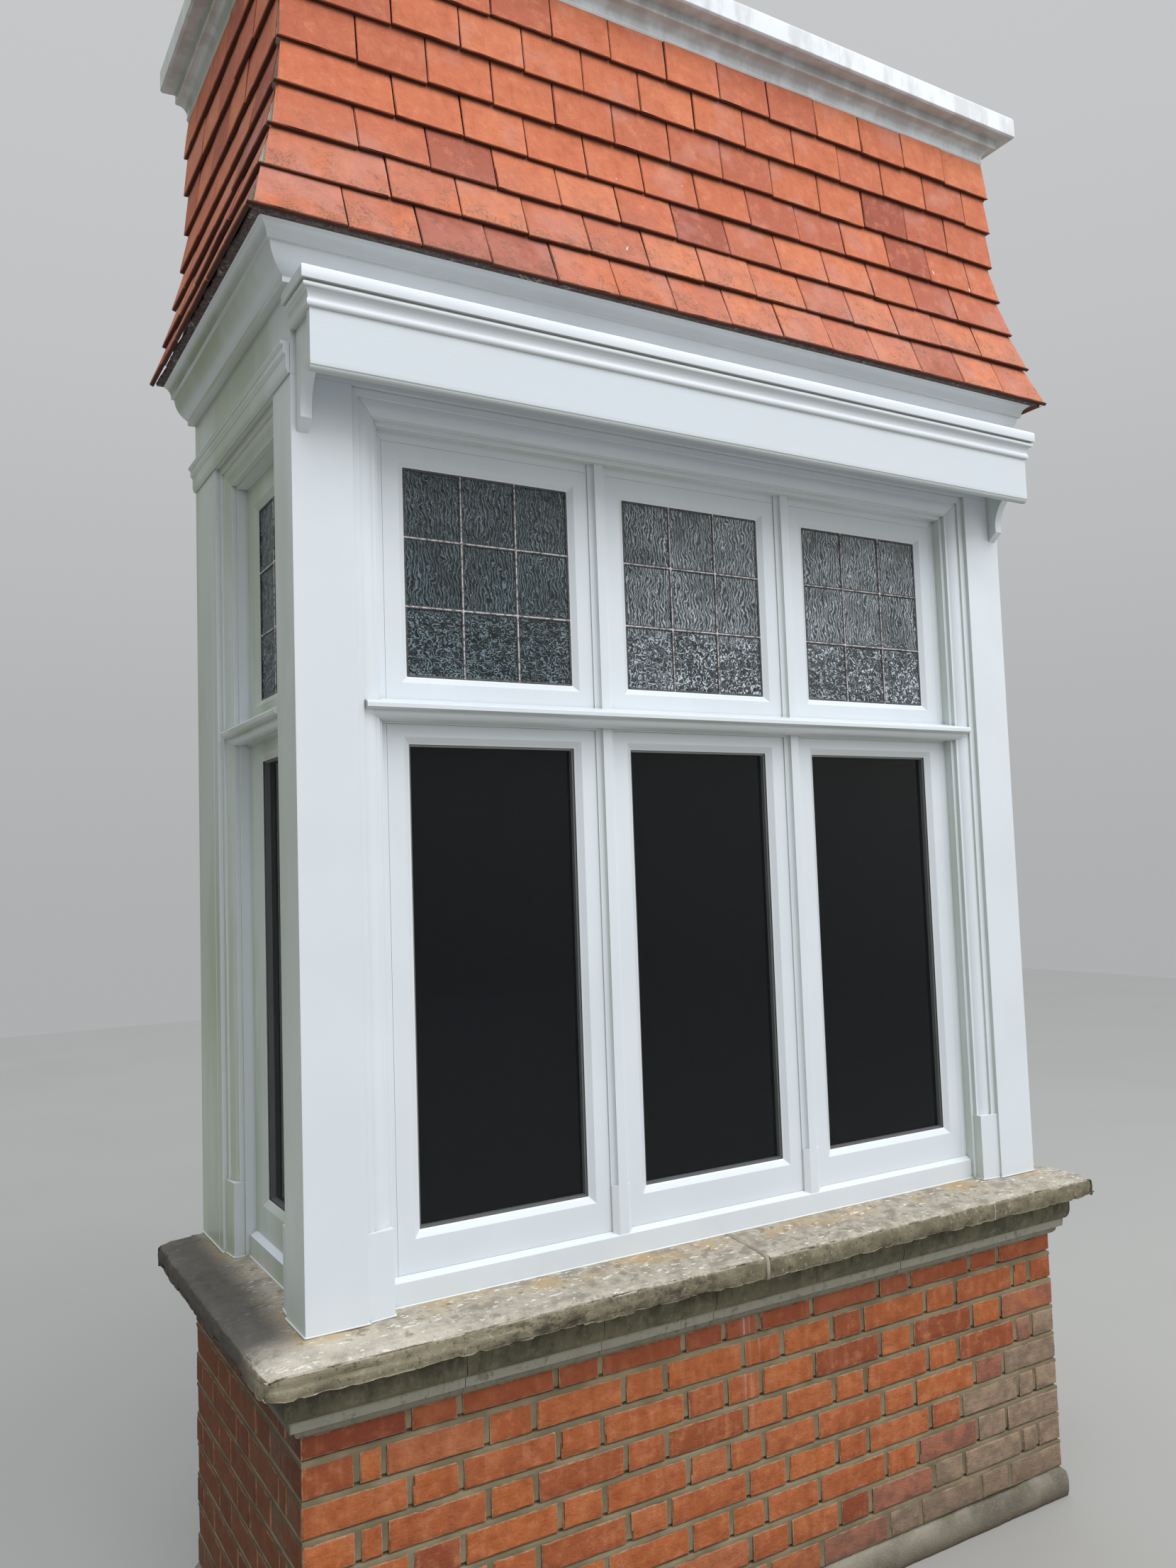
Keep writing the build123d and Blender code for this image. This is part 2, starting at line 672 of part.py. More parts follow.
def cap_sill_rows():
    face = fitted(CAP_SILL_MOULD, TILE_FACE - TILE_THICK, CAP_SILL_OUT, TILE_TOP, CAP_SILL_TOP)
    return [(-CAP_SILL_IN, TILE_TOP)] + face + [(-CAP_SILL_IN, CAP_SILL_TOP + CAP_SILL_FALL)]


def top_deck():
    half = HALF_WIDTH - CAP_SILL_IN
    top = CAP_SILL_TOP - DECK_DOWN
    return block(-half, half, CAP_SILL_IN, BAY_DEPTH, top - DECK_THICK, top)


def ceiling():
    half = HALF_WIDTH - FRAME_IN
    low = HEAD_TOP + CEILING_UP
    return block(-half, half, FRAME_IN, BAY_DEPTH, low, low + CEILING_THICK)


def board_rows():
    """Window board with a rounded nose, (distance in, Z)."""
    far = FRAME_IN + BOARD_IN
    nose = BOARD_ROUND
    top = SEAT + BOARD_THICK
    return [
        (FRAME_IN, SEAT),
        (far - nose, SEAT),
        (far, SEAT + nose, far - nose * 0.3, SEAT + nose * 0.3),
        (far, top - nose),
        (far - nose, top, far - nose * 0.3, top - nose * 0.3),
        (FRAME_IN, top),
    ]


def window_board_front(posts):
    return along_x(board_rows(), LEFT + FRAME_IN, RIGHT - FRAME_IN) - posts


def window_board_side(posts):
    return along_y(moved(board_rows(), LEFT), FRAME_IN + BOARD_IN + GAP / 2, BAY_DEPTH) - posts


def build():
    left_post = corner_post()
    right_post = other_hand(left_post)
    left_wall_post = wall_post()
    posts = left_post + right_post
    side_posts = left_post + left_wall_post
    sill = between_front(sill_rows(), posts)
    transom = between_front(transom_rows(), posts, MOULD_WIDTH / 4)
    head = head_front()
    tile_reach = TILE_FACE + TILE_FLARE
    return {
        "footing": footing(),
        "brick_plinth": brick_plinth(),
        "string_course": string_course(),
        "sill_stone_front_left": stone_front_left(),
        "sill_stone_front_right": other_hand(stone_front_left()),
        "sill_stone_return_left": stone_return_left(),
        "sill_stone_return_right": other_hand(stone_return_left()),
        "timber_sill_front": sill,
        "timber_sills_side": pair(between_side(sill_rows(), side_posts)),
        "corner_post_left": left_post,
        "corner_post_right": right_post,
        "wall_posts": pair(left_wall_post),
        "mullions": mullions(transom, sill, head),
        "transom_front": transom,
        "transoms_side": pair(between_side(transom_rows(), side_posts, MOULD_WIDTH / 4)),
        "head_front": head,
        "heads_side": pair(head_side()),
        "lower_sashes_front": sashes(front_lights(True), True),
        "upper_sashes_front": sashes(front_lights(False), False),
        "lower_sashes_side": pair(on_return(sashes(side_lights(True), True))),
        "upper_sashes_side": pair(on_return(sashes(side_lights(False), False))),
        "lower_panes_front": panes(front_lights(True), True),
        "upper_panes_front": panes(front_lights(False), False),
        "lower_panes_side": pair(on_return(panes(side_lights(True), True))),
        "upper_panes_side": pair(on_return(panes(side_lights(False), False))),
        "pane_spacers": group(spacers(front_lights(True)), pair(on_return(spacers(side_lights(True))))),
        "head_beam": head_beam(),
        "side_bands": pair(side_band()),
        "blind_box_fascia": box_fascia(),
        "blind_box_cap": box_cap(),
        "blind_box_brackets": pair(bracket()),
        "crown_cornice_front": front_run(crown_rows(), CROWN_OUT),
        "crown_cornices_side": pair(side_run(crown_rows(), CROWN_OUT)),
        "tile_skirt_front": front_run(tile_rows(), tile_reach),
        "tile_skirts_side": pair(side_run(tile_rows(), tile_reach)),
        "capping_sill_front": front_run(cap_sill_rows(), CAP_SILL_OUT),
        "capping_sills_side": pair(side_run(cap_sill_rows(), CAP_SILL_OUT)),
        "top_deck": top_deck(),
        "ceiling": ceiling(),
        "window_board_front": window_board_front(posts),
        "window_boards_side": pair(window_board_side(side_posts)),
    }


os.makedirs("parts", exist_ok=True)
for name, shape in build().items():
    export_step(shape, "parts/" + name + ".step")
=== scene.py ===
import math
import random

import bmesh
import bpy
from mathutils import Matrix, Vector, noise


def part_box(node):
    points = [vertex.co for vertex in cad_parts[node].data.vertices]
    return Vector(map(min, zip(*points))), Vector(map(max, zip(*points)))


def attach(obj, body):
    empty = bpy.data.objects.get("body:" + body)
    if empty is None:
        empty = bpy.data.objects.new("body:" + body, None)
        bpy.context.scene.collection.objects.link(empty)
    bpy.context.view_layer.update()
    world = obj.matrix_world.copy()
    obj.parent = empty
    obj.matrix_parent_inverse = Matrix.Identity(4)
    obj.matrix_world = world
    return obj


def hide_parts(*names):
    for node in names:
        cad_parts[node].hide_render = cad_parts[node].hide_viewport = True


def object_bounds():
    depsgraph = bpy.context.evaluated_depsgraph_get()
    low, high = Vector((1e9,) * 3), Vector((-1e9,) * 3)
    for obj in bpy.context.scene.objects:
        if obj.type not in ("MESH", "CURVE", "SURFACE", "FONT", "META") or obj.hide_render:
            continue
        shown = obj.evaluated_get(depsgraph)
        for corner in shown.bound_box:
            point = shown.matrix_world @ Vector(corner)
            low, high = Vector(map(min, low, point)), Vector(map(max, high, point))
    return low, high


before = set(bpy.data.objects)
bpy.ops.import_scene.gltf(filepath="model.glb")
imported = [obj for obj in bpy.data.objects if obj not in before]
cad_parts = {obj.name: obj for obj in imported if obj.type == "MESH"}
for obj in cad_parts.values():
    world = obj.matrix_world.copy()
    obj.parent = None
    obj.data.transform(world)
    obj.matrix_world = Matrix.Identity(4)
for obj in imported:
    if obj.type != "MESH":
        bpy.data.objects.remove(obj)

bl_info = {
    "name": "Box bay window",
    "version": (1, 0, 0),
    "blender": (4, 5, 0),
    "location": "3D View > Sidebar > Bay window",
    "description": "Finishes a box bay window: bricks, stones, gloss joinery, leaded lights and hung tiles",
    "category": "Object",
}

# Lines of the bay, in metres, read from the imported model.
LOW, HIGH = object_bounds()
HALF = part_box("corner_post_right")[1].x
BACK = HIGH.y
BRICK_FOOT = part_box("brick_plinth")[0].z
BRICK_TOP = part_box("brick_plinth")[1].z
BRICK_OUT = -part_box("brick_plinth")[0].y
STONE_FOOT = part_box("sill_stone_front_left")[0].z
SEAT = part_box("corner_post_left")[0].z
STONE_OUT = -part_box("sill_stone_front_left")[0].y
TILE_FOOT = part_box("tile_skirt_front")[0].z
TILE_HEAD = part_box("tile_skirt_front")[1].z
TILE_FLARE = -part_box("tile_skirt_front")[0].y
CROWN_OUT = -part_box("crown_cornice_front")[0].y

# Widths of a header and a closer in the brickwork, and how far a brick is modelled into the wall.
HEADER, CLOSER, BRICK_DEPTH = 0.1025, 0.046, 0.060

# How far a tile runs up behind the next course, and the last course behind the capping sill.
TILE_LAP, LAST_LAP = 0.055, 0.004

# Leaded lights: thickness of the glass, how far the sash holds it, how far a quarry runs into that,
# and the timber between two lights.
GLASS_THICK, HELD, REBATE, BETWEEN_LIGHTS = 0.004, 0.010, 0.008, 0.162

# Faces of a corner post on the front and on the return, and the face of a wall post.
POST_FRONT, POST_SIDE, WALL_POST = 0.134, 0.131, 0.216

# Width of the stops at the feet of the posts, and the step of each of their two faces.
STOP_WIDTH, STOP_STEP = 0.060, 0.006

# How steeply the tops of the stones fall outwards.
STONE_FALL = 0.011 / 0.118

# The camera of the photograph: its place and turns, and the picture's height and focal length in dots.
CAMERA_PLACE = (-1.7959, -2.3975, 1.8046)
CAMERA_TURNS = (("Z", 0.5319583), ("Y", 0.0076730), ("X", -0.0789126))
PICTURE_HEIGHT, FOCAL_DOTS = 2212, 1685.3


class Link:
    """An output of a node. Sums on it add Math nodes to its tree."""

    def __init__(self, tree, socket):
        self.tree = tree
        self.socket = socket

    def math(self, operation, *values):
        return self.tree.math(operation, self, *values)

    def __add__(self, other):
        return self.math("ADD", other)

    __radd__ = __add__

    def __sub__(self, other):
        return self.math("SUBTRACT", other)

    def __rsub__(self, other):
        return self.tree.math("SUBTRACT", other, self)

    def __mul__(self, other):
        return self.math("MULTIPLY", other)

    __rmul__ = __mul__

    def __truediv__(self, other):
        return self.math("DIVIDE", other)

    def __rtruediv__(self, other):
        return self.tree.math("DIVIDE", other, self)

    def __pow__(self, other):
        return self.math("POWER", other)

    def __neg__(self):
        return self.math("MULTIPLY", -1.0)

    def __abs__(self):
        return self.math("ABSOLUTE")

    def __gt__(self, other):
        return self.math("GREATER_THAN", other)

    def __lt__(self, other):
        return self.math("LESS_THAN", other)

    def most(self, other):
        return self.math("MAXIMUM", other)

    def least(self, other):
        return self.math("MINIMUM", other)

    def ramp(self, low, high):
        """0 below low, 1 above high, and smooth between them."""
        values = {0: self, 1: low, 2: high}
        return self.tree.node("ShaderNodeMapRange", {"interpolation_type": "SMOOTHSTEP"}, values)

    def part(self, axis):
        return self.tree.node("ShaderNodeSeparateXYZ", None, {0: self}, "XYZ".index(axis))


class Tree:
    """A node tree, of a material or of Geometry Nodes, written as expressions."""

    def __init__(self, tree):
        self.tree = tree
        tree.nodes.clear()

    def node(self, kind, settings=None, values=None, out=0):
        """Adds a node: its settings first, then the values or links of its sockets."""
        made = self.tree.nodes.new(kind)
        for key, value in (settings or {}).items():
            if key == "stops":
                ramp = made.color_ramp
                while len(ramp.elements) < len(value):
                    ramp.elements.new(0.5)
                for element, (place, colour) in zip(ramp.elements, value):
                    element.position = place
                    element.color = (*colour, 1.0)
            else:
                setattr(made, key, value)
        for key, value in (values or {}).items():
            socket = made.inputs[key]
            if isinstance(value, Link):
                self.tree.links.new(value.socket, socket)
            elif socket.type == "RGBA":
                socket.default_value = (*value, 1.0)
            else:
                socket.default_value = value
        return Link(self, made.outputs[out]) if len(made.outputs) else None

    def math(self, operation, *values):
        return self.node("ShaderNodeMath", {"operation": operation}, dict(enumerate(values)))

    def vector(self, x, y, z):
        return self.node("ShaderNodeCombineXYZ", None, {0: x, 1: y, 2: z})

    def vmath(self, operation, a, b):
        return self.node("ShaderNodeVectorMath", {"operation": operation}, {0: a, 1: b})

    def noise(self, place, scale, detail=3.0, rough=0.55):
        values = {"Vector": place, "Scale": scale, "Detail": detail, "Roughness": rough}
        return self.node("ShaderNodeTexNoise", None, values)


class Finish(Tree):
    """One procedural material."""

    def __init__(self, name):
        self.material = bpy.data.materials.new(name)
        self.material.use_nodes = True
        super().__init__(self.material.node_tree)
        self.place = self.node("ShaderNodeTexCoord", None, None, "Object")

    def mix(self, share, a, b):
        return self.node("ShaderNodeMix", {"data_type": "RGBA"}, {0: share, 6: a, 7: b}, 2)

    def coat(self, share, colour):
        """Lays a colour over the colour so far, as thickly as share says."""
        self.colour = self.mix(share, self.colour, colour)

    def shades(self, share, *stops):
        return self.node("ShaderNodeValToRGB", {"stops": stops}, {0: share})

    def spread(self, x, y, z):
        """The object's own coordinates, stretched by three scales."""
        return self.node("ShaderNodeMapping", None, {"Vector": self.place, "Scale": (x, y, z)})

    def winding(self, across, up, bend):
        """Streaks that run up the object and wind about."""
        values = {"Vector": self.spread(across, across, up), "Scale": 1.0, "Detail": 1.2, "Roughness": 0.5}
        return self.node("ShaderNodeTexNoise", None, {**values, "Distortion": bend})

    def attribute(self, name):
        return self.node("ShaderNodeAttribute", {"attribute_name": name}, None, "Fac")

    def facing(self, axis):
        return self.node("ShaderNodeNewGeometry", None, None, "Normal").part(axis)

    def leftward(self):
        """1 on faces that look left, as those of the left return do."""
        return (-self.facing("X")).ramp(0.5, 0.95)

    def hollow(self, reach, inside=False):
        """How open the surface is within a reach; with inside, how far it is from an outer edge."""
        settings = {"samples": 6, "inside": inside, "only_local": False}
        return self.node("ShaderNodeAmbientOcclusion", settings, {"Distance": reach}, 1)

    def bump(self, height, distance, strength=1.0):
        values = {"Height": height, "Distance": distance, "Strength": strength}
        return self.node("ShaderNodeBump", None, values)

    def close(self, roughness, normal=None, **constants):
        """Ends the material in one Principled shader."""
        values = {"Base Color": self.colour, "Roughness": roughness}
        if normal is not None:
            values["Normal"] = normal
        for key, value in constants.items():
            values[key.replace("_", " ")] = value
        shader = self.node("ShaderNodeBsdfPrincipled", None, values)
        self.node("ShaderNodeOutputMaterial", None, {"Surface": shader})
        return self.material


def gloss_paint(name, along):
    """Gloss paint on timber, brushed along one axis, with dirt and painted shade in its creases and painted
    highlights on its arrises.
    """
    m = Finish(name)
    paint = bpy.context.scene.bay_paint
    scales = {"X": (5, 260, 260), "Y": (260, 5, 260), "Z": (260, 260, 5)}[along]
    bristles = m.noise(m.spread(*scales), 1.0, 3.0, 0.6)
    strokes = m.noise(m.spread(*[s / 5 for s in scales]), 1.0, 2.0, 0.5)
    broad = m.noise(m.place, 2.6, 3.0)
    fine = m.noise(m.place, 38.0, 4.0)
    up, height = m.facing("Z"), m.place.part("Z")
    m.colour = m.mix(broad.ramp(0.35, 0.65), tuple(c * 0.955 for c in paint.colour), tuple(paint.colour))
    # Dirt and painted shade in creases, painted highlights on arrises, then dust on ledges and painted shade
    # under them.
    crease = 1 - m.hollow(0.016)
    m.coat(crease.ramp(0.22, 0.80) * paint.crease, (0.30, 0.31, 0.30))
    arris = (1 - m.hollow(0.0035, True)).ramp(0.15, 0.6)
    m.coat(arris * 0.55, (0.92, 0.94, 0.95))
    grime = up.ramp(0.55, 0.95) * fine.ramp(0.42, 0.7) * height.ramp(2.6, 3.0)
    m.coat(grime * 0.55, (0.42, 0.41, 0.36))
    m.coat((-up).ramp(0.05, 0.80) * 0.20, (0.42, 0.43, 0.40))
    under = (-up).ramp(0.75, 0.98) * broad.ramp(0.2, 0.62)
    m.coat(under * 0.55, (0.42, 0.42, 0.33))
    # A bluer board on the blind box, with dirt and painted shade on its lower lip.
    foot, top = (corner.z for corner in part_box("blind_box_fascia"))
    board = height.ramp(foot - 0.02, foot) * (1 - height.ramp(top - 0.004, top))
    board = (-m.place.part("Y")).ramp(0.085, 0.110) * board
    m.coat(board * (broad.ramp(0.30, 0.65) * 0.10 + 0.18), (0.42, 0.50, 0.56))
    lip = board * (1 - height.ramp(foot + 0.004, foot + 0.022))
    m.coat(lip * 0.40, (0.40, 0.43, 0.38))
    # Green growth and painted shade on the left return, the shade deepest towards the wall.
    bloom = m.noise(m.spread(5, 5, 1.2), 1.0, 3.0).ramp(0.34, 0.66)
    deep = m.place.part("Y").ramp(0.02, 0.30)
    m.coat(m.leftward() * (bloom * 0.30 + 0.20 + deep * 0.32), (0.34, 0.40, 0.25))
    # Rain stains on the capping sill.
    high = height.ramp(TILE_HEAD - 0.01, TILE_HEAD + 0.02)
    runs = m.noise(m.spread(16, 16, 5), 1.0, 4.0, 0.6).ramp(0.40, 0.62)
    m.coat(high * (runs * 0.34 + 0.12), (0.31, 0.27, 0.25))
    lumps = bristles * 0.5 + strokes * 0.8 + broad * 2.2
    normal = m.bump(lumps, 0.0007, paint.brush)
    return m.close(fine * 0.08 + strokes * 0.12 + paint.roughness, normal, Specular_IOR_Level=0.5)


def brick_finish():
    """Red facing brick, with its skin, its pits and mortar left along its arrises."""
    m = Finish("red facing brick")
    look = bpy.context.scene.bay_brick
    tone, edge, stain = m.attribute("tone"), m.attribute("edge"), m.attribute("stain")
    x, z = m.place.part("X"), m.place.part("Z")
    cloud = m.noise(m.place, 14.0, 4.0, 0.6)
    sand = m.noise(m.place, 420.0, 2.0, 0.7)
    grit = m.noise(m.place, 95.0, 5.0, 0.65)
    creases = m.noise(m.spread(13, 13, 46), 1.0, 6.0, 0.66)
    skin = m.noise(m.place, 34.0, 5.0, 0.68)
    deep, middle, bright, pale = look.deep, look.middle, look.bright, look.pale
    m.colour = m.shades(tone, (0.0, deep), (0.38, middle), (0.72, bright), (1.0, pale))
    m.coat(cloud.ramp(0.36, 0.68) * 0.30, tuple(c * 0.66 for c in middle))
    # Skin of the clay: wiped, mottled and pitted.
    wipe = m.noise(m.spread(45, 45, 6), 1.0, 2.0, 0.5)
    m.coat(wipe.ramp(0.52, 0.70) * 0.22, (0.62, 0.27, 0.15))
    m.coat(skin.ramp(0.50, 0.68) * 0.42, (0.28, 0.060, 0.024))
    m.coat((0.50 - skin).ramp(0.0, 0.16) * 0.38, (0.62, 0.255, 0.120))
    pits = (0.335 - grit).ramp(0.0, 0.04) + (0.315 - creases).ramp(0.0, 0.03)
    m.coat(pits.least(1.0) * 0.62, (0.10, 0.028, 0.016))
    # Painted shadow of the string course on the top courses.
    string_shadow = z.ramp(BRICK_TOP - 0.075, BRICK_TOP - 0.035) * (cloud * 0.5 + 0.62)
    m.coat(string_shadow * 0.55, (0.20, 0.042, 0.026))
    # The stain that climbs to the right corner, purple first and then buff.
    ash = m.noise(m.place, 23.0, 3.0, 0.6)
    purple = m.mix(ash.ramp(0.40, 0.62), (0.36, 0.145, 0.095), (0.225, 0.105, 0.080))
    m.coat(((stain + (cloud - 0.5) * 0.5).ramp(0.14, 0.48)) * 0.85, purple)
    buff = m.mix(ash.ramp(0.36, 0.66), (0.35, 0.260, 0.175), (0.235, 0.180, 0.130))
    m.coat((stain + (cloud - 0.5) * 0.6).ramp(0.60, 0.86) * 0.88, buff)
    # Mortar smeared over the arrises, and flecks of lime.
    smear = m.noise(m.place, 48.0, 4.0, 0.65)
    halo = (edge + (smear - 0.5) * 2.4).ramp(0.30, 0.80) * edge.ramp(0.02, 0.30)
    m.coat(halo * 0.72, m.mix(smear.ramp(0.45, 0.60), (0.34, 0.25, 0.155), (0.47, 0.32, 0.21)))
    lime = (m.noise(m.place, 74.0, 4.0, 0.7) - 0.735).ramp(0.0, 0.02)
    m.coat(lime * 0.8, (0.80, 0.68, 0.58))
    # Pale wash that ran down from the joint of the sills.
    bands = m.noise(m.spread(85, 1, 2.5), 1.0, 2.0, 0.5).ramp(0.42, 0.60)
    streak = (0.034 - abs(x - 0.010 + (cloud - 0.5) * 0.012)).ramp(0.0, 0.014) * z.ramp(0.40, 0.66)
    m.coat(streak * bands * 0.62, (0.58, 0.36, 0.29))
    # Painted shade on the left return.
    m.coat(m.leftward() * 0.74, (0.050, 0.022, 0.012))
    # Soil splashed on the lowest courses.
    soil = (0.20 - z + (cloud - 0.5) * 0.12).ramp(0.0, 0.12) * 0.35
    m.coat(soil, (0.15, 0.11, 0.075))
    normal = m.bump(sand * 0.16 + grit * 0.5 + creases * 1.5 + skin * 1.5, 0.0032, 0.95)
    return m.close(cloud * 0.10 + 0.80, normal, Specular_IOR_Level=0.28)


def mortar_finish(name, light, dark):
    """Grey-buff lime mortar, with painted shade where it is cut back under a brick."""
    m = Finish(name)
    cloud = m.noise(m.place, 9.0, 4.0)
    sand = m.noise(m.place, 520.0, 2.0, 0.7)
    lumps = m.noise(m.place, 70.0, 4.0, 0.6)
    x, z = m.place.part("X"), m.place.part("Z")
    m.colour = m.mix(cloud.ramp(0.35, 0.65), dark, light)
    m.coat((sand - 0.62).ramp(0.0, 0.1) * 0.22, tuple(min(1.0, c * 1.5) for c in light))
    m.coat((0.40 - sand).ramp(0.0, 0.1) * 0.25, tuple(c * 0.55 for c in dark))
    reach = (0.5 - z) * 1.2 + (cloud - 0.5) * 0.3 - (HALF + BRICK_OUT - x)
    m.coat(reach.ramp(0.0, 0.3) * 0.5, (0.20, 0.175, 0.125))
    out = (-m.place.part("Y")).most(abs(x) - HALF)
    plinth = 1 - z.ramp(BRICK_TOP, BRICK_TOP + 0.01)
    # Painted shade in the deep recess under each brick.
    cut = (BRICK_OUT - 0.0060 - out).ramp(0.0, 0.0026) * plinth
    m.coat(cut * (lumps.ramp(0.38, 0.58) * 0.5 + 0.30), (0.040, 0.032, 0.020))
    # Painted shade on the left return.
    m.coat(m.leftward() * plinth * 0.70, (0.045, 0.040, 0.026))
    normal = m.bump(sand * 0.35 + lumps * 1.2, 0.0014, 0.8)
    return m.close(0.93, normal, Specular_IOR_Level=0.2)


def cement_finish():
    """Rough grey cement with earth splashed on it."""
    m = Finish("rough cement")
    cloud = m.noise(m.place, 6.0, 5.0)
    grit = m.noise(m.place, 160.0, 4.0, 0.7)
    stones = m.node("ShaderNodeTexVoronoi", None, {"Vector": m.place, "Scale": 75.0})
    z = m.place.part("Z")
    m.colour = m.mix(cloud.ramp(0.35, 0.66), (0.17, 0.15, 0.115), (0.33, 0.30, 0.24))
    m.coat(grit.ramp(0.5, 0.75) * 0.4, (0.45, 0.42, 0.36))
    m.coat((0.22 - stones).ramp(0.0, 0.1) * 0.35, (0.30, 0.24, 0.17))
    earth = (0.055 - z + (cloud - 0.5) * 0.09).ramp(0.0, 0.07)
    m.coat(earth * 0.75, (0.085, 0.060, 0.040))
    moss = (m.noise(m.place, 13.0, 3.0) - 0.56).ramp(0.0, 0.08) * z.ramp(0.03, 0.1)
    m.coat(moss * 0.5, (0.14, 0.15, 0.06))
    normal = m.bump(grit * 1.0 + cloud * 2.0, 0.003, 0.8)
    return m.close(0.95, normal, Specular_IOR_Level=0.2)


def string_finish():
    """Moulded blocks: a pale band under a mould darkened with growth and painted shade, and hair cracks."""
    m = Finish("moulded string blocks")
    tone = m.attribute("tone")
    cloud = m.noise(m.place, 8.0, 4.0)
    runs = m.noise(m.spread(26, 26, 5), 1.0, 4.0, 0.6)
    fine = m.noise(m.place, 190.0, 3.0, 0.6)
    z = m.place.part("Z")
    m.colour = m.mix(tone * 0.6 + cloud * 0.4, (0.205, 0.195, 0.145), (0.300, 0.290, 0.230))
    m.coat(runs.ramp(0.52, 0.72) * 0.35, (0.120, 0.118, 0.092))
    band = z.ramp(BRICK_TOP + 0.0205, BRICK_TOP + 0.0225)
    m.coat(band * 0.35, (0.44, 0.425, 0.355))
    # Growth and painted shade on the mould above the band, under the stone.
    top = z.ramp(BRICK_TOP + 0.0424, BRICK_TOP + 0.0450)
    growth = m.mix(cloud.ramp(0.36, 0.64), (0.076, 0.070, 0.038), (0.128, 0.115, 0.062))
    m.coat(top * 0.88, growth)
    soot = z.ramp(STONE_FOOT - 0.055, STONE_FOOT - 0.01) * runs.ramp(0.44, 0.62)
    m.coat(soot * 0.6, (0.030, 0.028, 0.020))
    crack = abs(m.noise(m.spread(16, 16, 2.6), 1.0, 3.0, 0.7) - 0.5)
    some = m.noise(m.spread(9, 9, 1.5), 1.0, 2.0).ramp(0.50, 0.56)
    m.coat((0.006 - crack).ramp(0.0, 0.005) * some * 0.6, (0.045, 0.042, 0.032))
    patch = m.noise(m.place, 30.0, 5.0, 0.7)
    m.coat(patch.ramp(0.50, 0.66) * 0.42, (0.235, 0.225, 0.175))
    m.coat((0.46 - patch).ramp(0.0, 0.12) * 0.42, (0.042, 0.040, 0.028))
    m.coat((fine - 0.6).ramp(0.0, 0.1) * 0.25, (0.40, 0.40, 0.36))
    # Painted shade on the left return.
    m.coat(m.leftward() * 0.70, (0.040, 0.040, 0.030))
    normal = m.bump(fine * 0.4 + cloud * 1.0, 0.0012, 0.6)
    return m.close(0.82, normal, Specular_IOR_Level=0.3)


